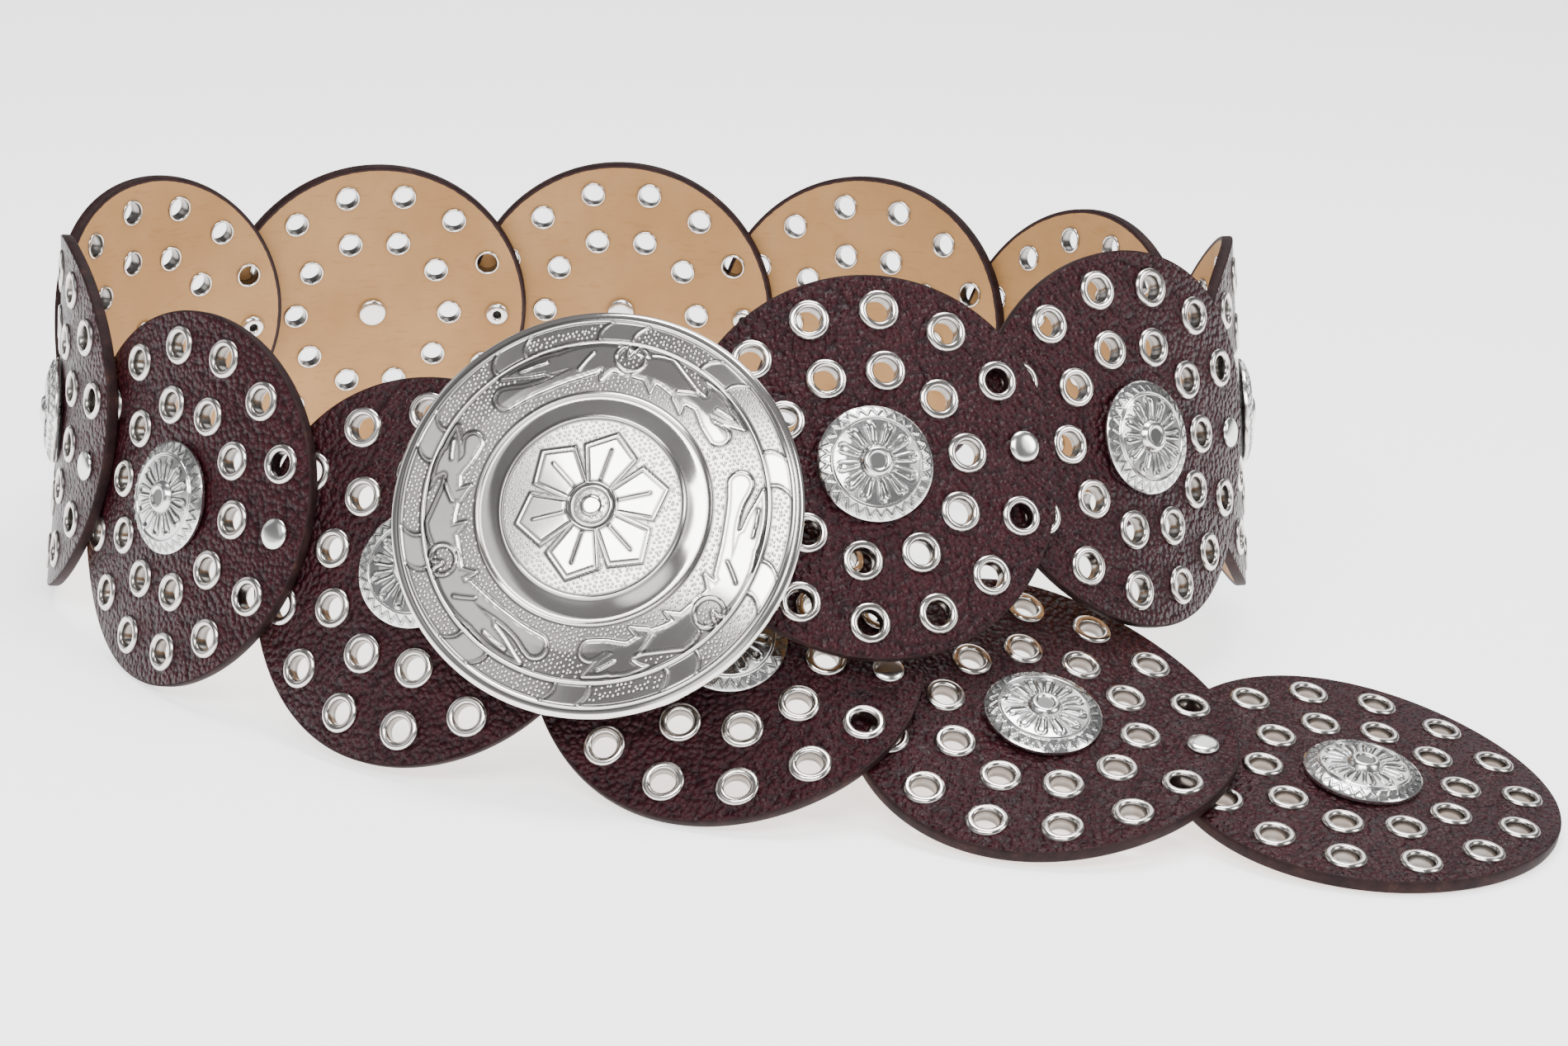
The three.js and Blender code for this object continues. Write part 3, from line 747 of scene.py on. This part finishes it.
def make_concho(number):
    row = ROWS[number]
    seat = stand_off(row, CONCHO_RADIUS)
    steps = 240
    shares = np.concatenate([
        [0.07, 0.13, 0.14], np.linspace(0.155, 0.315, 9), np.linspace(0.345, 0.715, 12),
        np.linspace(0.737, 0.795, 7), np.linspace(0.815, 0.975, 10), [0.99, 1.0],
    ])
    points, faces, kept, rim = height_field(shares, steps, concho_relief, CONCHO_RADIUS)
    points[:, 2] += seat
    parts = [(points, faces)]
    under, under_faces = turned([
        (0, seat + 0.02), (CONCHO_RADIUS - 1.2, seat + 0.02), (CONCHO_RADIUS - 0.1, seat + 0.1),
        (CONCHO_RADIUS, seat + 0.5), (CONCHO_RADIUS, seat + 1.0),
    ], steps)
    parts.append((under, under_faces))
    low = -LEATHER / 2 - GAP
    back = [(0, low - 1.15), (2.6, low - 1.2), (3.9, low - 1.0), (CONCHO_BACK, low - 0.5), (CONCHO_BACK, low)]
    parts.append(turned(back + [(RIVET_POST, low), (RIVET_POST, seat + 0.1), (0, seat + 0.1)], 40))
    points, faces = joined(parts)
    patina_and_shade = np.concatenate([kept[0], np.zeros(len(points) - len(kept[0]))])
    world = moved(PLACES[number], points)
    name = f"concho_piece_{number + 1:02d}"
    piece = build(name, world, faces, [CONCHO], sharp=60, values={"patina_and_shade": patina_and_shade})
    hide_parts(f"concho_{number + 1:02d}")


# Buckle

FRONT_SHARE = [0, 0.042, 0.05, 0.09, 0.10, 0.44, 0.455, 0.475, 0.50, 0.525, 0.545, 0.557, 0.57, 0.70, 0.83, 0.85]
FRONT_HEIGHT = [8.5, 8.45, 8.1, 7.9, 7.75, 6.75, 6.5, 6.15, 5.75, 5.4, 5.2, 5.3, 5.55, 4.75, 3.6, 3.35]
FRONT_SHARE += [0.945, 0.965, 0.985, 0.995, 1.0]
FRONT_HEIGHT += [2.6, 2.5, 2.2, 1.8, 1.3]
PETAL = {"count": 6, "start": 0.0, "inner": 0.115, "shoulder": 0.275, "tip": 0.368, "half": 0.128}


def segment(x, y, ax, ay, bx, by):
    """Distance from points to a straight line between two places."""
    dx, dy = bx - ax, by - ay
    share = np.clip(((x - ax) * dx + (y - ay) * dy) / (dx * dx + dy * dy), 0, 1)
    return np.hypot(x - ax - share * dx, y - ay - share * dy)


def petals(share, angle):
    """Signed distance to six five-sided petals: under 0 inside."""
    off = folded(angle, PETAL["count"], PETAL["start"])
    x = share * np.cos(off)
    y = np.abs(share * np.sin(off))
    flank = np.array([PETAL["shoulder"] - PETAL["inner"], PETAL["half"] * 0.52])
    flank /= np.hypot(*flank)
    side = (y - PETAL["half"] * 0.48) * flank[0] - (x - PETAL["inner"]) * flank[1]
    crown = np.array([PETAL["half"], PETAL["tip"] - PETAL["shoulder"]])
    crown /= np.hypot(*crown)
    top = (x - PETAL["tip"]) * crown[0] + y * crown[1]
    inside = PETAL["inner"] - share
    vein = segment(x, y, 0.135, 0, 0.285, 0)
    return np.maximum(np.maximum(side, top), inside), vein


# One scroll of the band, clockwise: distance along the band from the berry's middle, distance out
# from the band's middle, half its width there. Each limb runs smoothly through its points.
SCROLL_LIMBS = [
    [(-0.62, 0.010, 0.056), (-0.52, -0.020, 0.034), (-0.40, -0.030, 0.028), (-0.26, -0.010, 0.036),
     (-0.18, 0.020, 0.050)],
    [(-0.36, 0.050, 0.050), (-0.22, 0.060, 0.062), (-0.08, 0.055, 0.068), (0.05, 0.030, 0.060),
     (0.17, 0.045, 0.070), (0.30, 0.030, 0.072), (0.42, 0.050, 0.066), (0.48, 0.062, 0.050)],
    [(-0.34, 0.060, 0.050), (-0.46, 0.080, 0.038), (-0.58, 0.112, 0.004)],
    [(0.42, 0.030, 0.050), (0.52, 0.065, 0.040), (0.61, 0.105, 0.003)],
    [(0.42, 0.010, 0.040), (0.50, -0.025, 0.032), (0.58, -0.012, 0.050)],
    [(-0.10, 0.0, 0.030), (-0.13, -0.065, 0.003)],
    [(0.12, -0.010, 0.035), (0.155, -0.080, 0.003)],
    [(0.30, -0.030, 0.035), (0.36, -0.090, 0.003)],
]
SCROLL_BAY = [(0.14, 0.150, 0.010), (0.24, 0.120, 0.034), (0.34, 0.080, 0.030), (0.385, 0.060, 0.010)]
SCROLL_VEINS = [
    [(-0.24, 0.0), (-0.17, 0.080)],
    [(0.27, -0.010), (0.36, 0.045)],
    [(-0.50, 0.088), (-0.38, 0.078)],
    [(0.47, 0.050), (0.550, 0.082)],
]
BERRY = {"count": 3, "start": 66.0, "along": 0.0, "out": 0.060, "radius": 0.068}
BAND_MIDDLE = 0.70


def curved(path, steps=5):
    """A path with more places, laid smoothly through the given ones."""
    path = np.asarray(path, float)
    if len(path) < 3:
        return path
    ends = np.vstack([2 * path[0] - path[1], path, 2 * path[-1] - path[-2]])
    out = []
    for a, b, c, d in zip(ends, ends[1:], ends[2:], ends[3:]):
        for k in range(steps):
            t = k / steps
            out.append(b + 0.5 * t * (c - a + t * (2 * a - 5 * b + 4 * c - d + t * (3 * (b - c) + d - a))))
    out.append(path[-1])
    return np.array(out)


def limb(x, y, path):
    """Signed distance to a limb that runs through places of given half width."""
    nearest = np.full_like(x, 9.0)
    for (ax, ay, ar), (bx, by, br) in zip(path, path[1:]):
        dx, dy = bx - ax, by - ay
        part = np.clip(((x - ax) * dx + (y - ay) * dy) / (dx * dx + dy * dy), 0, 1)
        away = np.hypot(x - ax - part * dx, y - ay - part * dy)
        nearest = np.minimum(nearest, away - ar - part * (br - ar))
    return nearest


def scrolls(share, angle):
    """Signed distances to the scrolls of the band, to their berries, and to the veins."""
    off = folded(angle, BERRY["count"], BERRY["start"])
    x = -off * BAND_MIDDLE
    y = share - BAND_MIDDLE
    body = np.minimum.reduce([limb(x, y, curved(path)) for path in SCROLL_LIMBS])
    body = np.maximum(body, -limb(x, y, curved(SCROLL_BAY)))
    berry = np.hypot(x - BERRY["along"], y - BERRY["out"]) - BERRY["radius"]
    notch = limb(x, y, [(0.0, 0.135, 0.022), (-0.012, 0.070, 0.003)])
    berry = np.maximum(berry, -notch)
    veins = np.minimum.reduce([segment(x, y, *a, *b) for a, b in SCROLL_VEINS])
    return body, berry, veins


def border(share, angle):
    """Signed distance to the plain patches between the stippled lengths of the border."""
    count = 10
    across = share - 0.895
    off = folded(angle + 0.68 * across + 9.0 * across ** 2, count, 0.0)
    return (np.abs(off) - 0.098) * 0.895


LINE_RINGS = [
    {"share": 0.095, "height": 0.30, "half": 0.008},
    {"share": 0.441, "height": 0.26, "half": 0.007},
    {"share": 0.564, "height": 0.42, "half": 0.009},
    {"share": 0.836, "height": 0.36, "half": 0.009},
    {"share": 0.950, "height": 0.36, "half": 0.009},
]


def beside(distance, half):
    """The dark patina along both sides of a raised line."""
    return np.exp(-((np.abs(distance) - half - 0.004) / 0.006) ** 2)


def buckle_relief(share, angle):
    """Height of the plate's front, how dark it is and where it is stippled."""
    height = np.interp(share, FRONT_SHARE, FRONT_HEIGHT)
    line = 0.30
    fine = 0.0075
    petal, petal_vein = petals(share, angle)
    scroll, berry, scroll_vein = scrolls(share, angle)
    patch = border(share, angle)
    in_middle = (share > 0.10) & (share < 0.435)
    in_band = (share > 0.576) & (share < 0.828)
    in_border = (share > 0.848) & (share < 0.942)
    vein = np.where(in_middle & (petal < 0), petal_vein, 9.0)
    vein = np.where(in_band & (scroll < 0) & (berry > 0.01), scroll_vein, vein)
    edge = np.where(in_middle, petal, 9.0)
    edge = np.where(in_band, np.where(berry < 0.02, berry, scroll), edge)
    edge = np.where(in_border, patch, edge)
    swell = np.where(in_middle, 0.2 * smooth(0.0, 0.02, -petal), 0.0)
    swell = swell + np.where(in_band, 0.28 * smooth(0.0, 0.012, -scroll), 0.0)
    swell = swell - np.where(in_band, 0.2 * smooth(0.0, 0.01, -berry), 0.0)
    swell = swell + np.where(in_border, 0.1 * smooth(0.0, 0.01, -patch), 0.0)
    height = height + swell + line * ridge(edge, fine) + line * ridge(vein, 0.0065)
    patina_and_shade = 0.6 * beside(edge, fine) + 0.6 * beside(vein, 0.0065)
    for row in LINE_RINGS:
        height = height + row["height"] * ridge(share - row["share"], row["half"])
        patina_and_shade = patina_and_shade + 0.6 * beside(share - row["share"], row["half"])
    ground = np.where(in_middle, petal > 0.012, False)
    ground = np.where(in_band, (scroll > 0.012) | (berry < -0.010), ground)
    ground = np.where(in_border, patch > 0.012, ground)
    ground = ground | ((share > 0.052) & (share < 0.086))
    return height, np.clip(patina_and_shade, 0, 1), ground.astype(float)


def bar_points(path, radius, sides=20):
    """A round rod through a few places, with its bends as they come."""
    path = np.asarray(path, float)
    ways = np.gradient(path, axis=0)
    ways /= np.linalg.norm(ways, axis=1)[:, None]
    side = np.cross(ways[0], (0.3, 0.8, 0.52))
    points = []
    for place, way in zip(path, ways):
        side = side - way * (side @ way)
        side /= np.linalg.norm(side)
        other = np.cross(way, side)
        for k in range(sides):
            angle = 2 * math.pi * k / sides
            points.append(place + radius * (math.cos(angle) * side + math.sin(angle) * other))
    faces = []
    for ring in range(len(path) - 1):
        for k in range(sides):
            n = (k + 1) % sides
            low, high = ring * sides, (ring + 1) * sides
            faces.append((low + k, low + n, high + n, high + k))
    faces.append(tuple(range(sides))[::-1])
    last = (len(path) - 1) * sides
    faces.append(tuple(range(last, last + sides)))
    return np.array(points), faces


def rounded(path, radius, steps=8):
    """A path with its corners rounded."""
    path = [np.asarray(p, float) for p in path]
    out = [path[0]]
    for before, corner, after in zip(path, path[1:], path[2:]):
        start = corner + radius * (before - corner) / np.linalg.norm(before - corner)
        end = corner + radius * (after - corner) / np.linalg.norm(after - corner)
        for k in range(steps + 1):
            t = k / steps
            out.append((1 - t) ** 2 * start + 2 * t * (1 - t) * corner + t * t * end)
    out.append(path[-1])
    return out


def shares_between(spans):
    """Even steps over a few spans (low, high, step), with the raised ring lines met on their crests."""
    crests = [row["share"] + part * row["half"] for row in LINE_RINGS for part in (-1, -0.5, 0, 0.5, 1)]
    low, high = spans[0][0], spans[-1][1]
    crests = [crest for crest in crests if low < crest < high]
    kept = []
    for start, end, step in spans:
        for value in np.linspace(start, end, int(round((end - start) / step)) + 1)[:-1]:
            if value == low or all(abs(value - crest) > 0.4 * step for crest in crests):
                kept.append(value)
    return np.array(sorted(kept + crests + [high]))


def buckle_ring(name, spans, steps, extra=(), closed=False):
    """A ring of the buckle's front, with other parts joined to it."""
    points, faces, kept, _ = height_field(shares_between(spans), steps, buckle_relief, BUCKLE_RADIUS)
    parts = [(points, faces if closed else faces[steps:]), *extra]
    points, faces = joined(parts)
    rest = np.zeros(len(points) - len(kept[0]))
    values = {"patina_and_shade": np.concatenate([kept[0], rest]), "stipple": np.concatenate([kept[1], rest])}
    piece = build(name, moved(BUCKLE_PLACE, points), faces, [BUCKLE], sharp=60, values=values)
    return piece


def make_beads():
    """The stipple of the buckle: small round beads, evenly scattered over its rough grounds."""
    pitch = 1.22
    reach = int(BUCKLE_RADIUS / pitch) + 2
    chance = np.random.default_rng(11)
    rows_up, columns = np.mgrid[-reach:reach + 1, -reach:reach + 1]
    x = pitch * (columns + 0.5 * (rows_up % 2)).ravel()
    y = pitch * 0.87 * rows_up.ravel()
    x = x + chance.uniform(-0.27, 0.27, len(x))
    y = y + chance.uniform(-0.27, 0.27, len(y))
    share = np.hypot(x, y) / BUCKLE_RADIUS
    inside = (share > 0.04) & (share < 0.95)
    x, y, share = x[inside], y[inside], share[inside]
    height, dark, ground = buckle_relief(share, np.arctan2(y, x) % (2 * np.pi))
    keep = (ground > 0.5) & (dark < 0.12)
    places = np.stack([x[keep], y[keep], height[keep]], 1)
    sizes = chance.uniform(0.36, 0.44, len(places))
    sides = 6
    bead, bead_faces = turned([(0, -0.5), (1.3, -0.12), (0.95, 0.1), (0.66, 0.55), (0, 0.8)], sides)
    # Painted shadow: each bead's foot and lower side are darkened, a shadow painted round the bead on the ground;
    # its top keeps the plain silver.
    painted_shadow_collar = [1.0] + [1.0] * sides + [0.9] * sides + [0.0] * sides + [0.0]
    points = (places[:, None] + sizes[:, None, None] * bead[None]).reshape(-1, 3)
    faces = [
        tuple(k + first for k in face)
        for first in range(0, len(points), len(bead))
        for face in bead_faces
    ]
    patina_and_shade = np.tile(painted_shadow_collar, len(places))
    piece = build("buckle_beads", moved(BUCKLE_PLACE, points), faces, [BUCKLE], values={"patina_and_shade": patina_and_shade})


def make_buckle():
    make_beads()
    parts = []
    back = [(0, 2.0), (0.5 * BUCKLE_RADIUS, 2.0), (0.9 * BUCKLE_RADIUS, 0.0), (0.985 * BUCKLE_RADIUS, 0.0)]
    back += [(0.997 * BUCKLE_RADIUS, 0.2), (BUCKLE_RADIUS, 0.6), (BUCKLE_RADIUS, 1.3)]
    parts.append(turned(back, 240))
    root = 2.6
    end = TAB_WIDTH / 2 + GAP + BAR_RADIUS
    foot = [(BAR_OFFSET, BAR_RISE + side * end) for side in (-1, 1)]
    loop = [(*foot[0], root), (*foot[0], -BAR_DEPTH), (*foot[1], -BAR_DEPTH), (*foot[1], root)]
    parts.append(bar_points(rounded(loop, 1.7), BAR_RADIUS))
    for x, y in foot:
        base = turned([(0, 2.0), (3.2, 1.6), (3.0, 0.9), (2.2, 0.3), (BAR_RADIUS, -0.4), (0, -0.4)][::-1], 24)
        parts.append((base[0] + (x, y, 0), base[1]))
    angle = 2 * math.pi * HOOK_HOLE / INNER_HOLES
    along, up = INNER_RING * math.cos(angle), INNER_RING * math.sin(angle)
    hole = np.linalg.inv(BUCKLE_PLACE) @ PLACES[HOOK_DISC] @ frame_at(ROWS[HOOK_DISC], along, up)
    out_way, left = hole[:3, 2], -hole[:3, 0]
    heel = hole[:3, 3] - out_way * (LEATHER / 2 + GAP + HOOK_RADIUS)
    start = hole[:3, 3] + out_way * (root - hole[2, 3]) / out_way[2]
    tip = heel + left * HOOK_REACH
    parts.append(bar_points(rounded([start, heel, tip], 2.2), HOOK_RADIUS))
    knob = turned([(0, -1.2), (1.2, -0.9), (HOOK_RADIUS, 0.0), (1.2, 0.9), (0, 1.2)], 20)
    parts.append((knob[0] + tip, knob[1]))
    base = turned([(0, 2.2), (3.6, 1.7), (3.2, 0.8), (2.4, 0.1), (HOOK_RADIUS, -0.6), (0, -0.6)][::-1], 24)
    parts.append((base[0] + (start[0], start[1], 0), base[1]))
    buckle_ring("buckle_medallion", [(0.012, 0.456, 0.0064)], 480, closed=True)
    buckle_ring("buckle_band", [(0.456, 0.552, 0.014), (0.552, 0.832, 0.0056)], 900)
    plate = buckle_ring("buckle_plate", [(0.832, 0.965, 0.0062), (0.965, 1.0, 0.007)], 900, parts)
    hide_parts("buckle")


# Buckle tab

def make_tab():
    """A strip that wraps the bar, with a leg on each face of the first disc."""
    inner = LEATHER / 2 + GAP
    outer = inner + TAB_LEATHER
    middle = (inner + outer) / 2
    route = [(-OUTER_RING - a, middle, math.pi / 2) for a in np.linspace(-10, BAR_ALONG * -1 - OUTER_RING, 18)]
    route += [
        (BAR_ALONG + middle * math.cos(t), middle * math.sin(t), t)
        for t in np.linspace(math.pi / 2, 1.5 * math.pi, 15)[1:-1]
    ]
    route += [(-OUTER_RING - a, -middle, 1.5 * math.pi) for a in np.linspace(BAR_ALONG * -1 - OUTER_RING, -10, 18)]
    half_width = TAB_WIDTH / 2
    section = []
    for side, edge in ((1, 0.0), (1, 0.5), (0, 0.5), (-1, 0.5), (-1, 0.0), (-1, -0.5), (0, -0.5), (1, -0.5)):
        section.append((side, edge))
    points = []
    for along, height, way in route:
        reach = along + OUTER_RING
        width = half_width if reach < 0 else math.sqrt(max(half_width ** 2 - reach ** 2, 0.6))
        for side, edge in section:
            thick = TAB_LEATHER * edge * (1 if side == 0 else 0.9)
            points.append((along + thick * math.cos(way), side * width, height + thick * math.sin(way)))
    size = len(section)
    faces = []
    looks = []
    for ring in range(len(route) - 1):
        for k in range(size):
            n = (k + 1) % size
            low, high = ring * size, (ring + 1) * size
            faces.append((low + k, low + n, high + n, high + k))
            looks.append({1: 0, 2: 0, 5: 1, 6: 1}.get(k, 2))
    faces.append(tuple(range(size))[::-1])
    last = (len(route) - 1) * size
    faces.append(tuple(range(last, last + size)))
    looks += [2, 2]
    world = moved(PLACES[0], bent(ROWS[0], points))
    values = {"grain": np.ones(len(points))}
    piece = build("buckle_tab_piece", world, faces, [OUTER, INNER, EDGE], looks, sharp=50, values=values)
    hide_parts("buckle_tab")


for disc in range(len(ROWS)):
    make_disc(disc)
    make_eyelets(disc)
    make_concho(disc)
top_of_disc = LEATHER / 2 + GAP
for disc in range(len(ROWS) - 1):
    depth = -spacing(ROWS[disc], ROWS[disc + 1]) - top_of_disc
    seat_place = PLACES[disc] @ frame_at(ROWS[disc], OUTER_RING)
    label = f"{disc + 1:02d}"
    make_rivet(f"rivet_{label}", f"disc_rivet_{label}", seat_place, top_of_disc, depth)
tab_top = LEATHER / 2 + 2 * GAP + TAB_LEATHER
make_rivet("tab_rivet_piece", "tab_rivet", PLACES[0] @ frame_at(ROWS[0], -OUTER_RING), tab_top, -tab_top)
make_buckle()
make_tab()


# Floor, light and camera

def make_floor():
    mesh = bpy.data.meshes.new("floor")
    size = 6.0
    mesh.from_pydata([(-size, -size, 0), (size, -size, 0), (size, size, 0), (-size, size, 0)], [], [(0, 1, 2, 3)])
    floor = bpy.data.objects.new("floor", mesh)
    bpy.context.scene.collection.objects.link(floor)
    material, nodes, links, shader = new_material("floor_paper")
    shader.inputs["Base Color"].default_value = (0.95, 0.95, 0.95, 1)
    shader.inputs["Roughness"].default_value = 0.9
    shader.inputs["Emission Color"].default_value = (1, 1, 1, 1)
    shader.inputs["Emission Strength"].default_value = 1.5
    mesh.materials.append(material)


def add_area(name, place, aim, size, power, tone=(1, 1, 1)):
    data = bpy.data.lights.new(name, "AREA")
    data.shape = "RECTANGLE"
    data.size, data.size_y = size
    data.energy = power
    data.color = tone
    lamp = bpy.data.objects.new(name, data)
    lamp.location = place
    lamp.rotation_euler = (Vector(aim) - Vector(place)).to_track_quat("-Z", "Y").to_euler()
    bpy.context.scene.collection.objects.link(lamp)


# Soft panels of the studio: where each one lies from the belt, the cosine at which it ends, power.
PANELS = [
    {"way": (-0.56, -0.58, 0.59), "end": 0.94, "power": 0.75},
    {"way": (0.80, -0.25, 0.55), "end": 0.95, "power": 2.2},
    {"way": (-0.85, 0.30, 0.45), "end": 0.95, "power": 0.9},
    {"way": (0.25, 0.70, 0.67), "end": 0.93, "power": 1.8},
    {"way": (0.10, -0.95, 0.22), "end": 0.965, "power": 1.2},
]


def light():
    """A pale studio: a bright sweep low down, dim walls above it and soft panels."""
    world = bpy.data.worlds.new("studio")
    bpy.context.scene.world = world
    world.use_nodes = True
    nodes = world.node_tree.nodes
    links = world.node_tree.links
    way = nodes.new("ShaderNodeTexCoord").outputs["Generated"]
    split = nodes.new("ShaderNodeSeparateXYZ")
    links.new(way, split.inputs["Vector"])
    rise = ramp(nodes, links, split.outputs["Z"], [
        (0.00, (1.25, 1.25, 1.25)),
        (0.07, (1.05, 1.05, 1.05)),
        (0.16, (0.22, 0.22, 0.225)),
        (0.60, (0.16, 0.16, 0.165)),
        (1.00, (0.24, 0.24, 0.245)),
    ])
    total = rise.outputs["Color"]
    for row in PANELS:
        dot = nodes.new("ShaderNodeVectorMath")
        dot.operation = "DOT_PRODUCT"
        links.new(way, dot.inputs[0])
        dot.inputs[1].default_value = Vector(row["way"]).normalized()
        glow = ramp(nodes, links, dot.outputs["Value"], [
            (row["end"], (0.0, 0.0, 0.0)),
            (row["end"] + 0.02, (row["power"],) * 3),
        ])
        add = nodes.new("ShaderNodeMixRGB")
        add.blend_type = "ADD"
        add.inputs["Fac"].default_value = 1.0
        links.new(total, add.inputs["Color1"])
        links.new(glow.outputs["Color"], add.inputs["Color2"])
        total = add.outputs["Color"]
    links.new(total, nodes["Background"].inputs["Color"])
    nodes["Background"].inputs["Strength"].default_value = 1.1
    add_area("key", (-0.12, -0.90, 0.95), (0, 0, 0.05), (0.9, 0.5), 16)
    add_area("top", (0.1, 0.2, 1.5), (0, 0, 0), (0.9, 0.6), 24)
    add_area("side", (1.1, -0.35, 0.8), (0, 0, 0.05), (0.4, 0.6), 5)


def make_camera():
    data = bpy.data.cameras.new("camera")
    data.sensor_width = SENSOR
    data.lens = CAMERA_FOCUS * SENSOR / PHOTO_WIDTH
    data.clip_start = 0.01
    camera = bpy.data.objects.new("camera", data)
    place = [FIRST[axis] + off for axis, off in zip("xyz", CAMERA_FROM_FIRST)]
    turn = spin("X", 90 - CAMERA_PITCH) @ spin("Z", CAMERA_ROLL)
    camera.matrix_world = Matrix.Translation([MM * part for part in place]) @ Matrix(turn.tolist())
    bpy.context.scene.collection.objects.link(camera)
    bpy.context.scene.camera = camera


make_floor()
light()
make_camera()
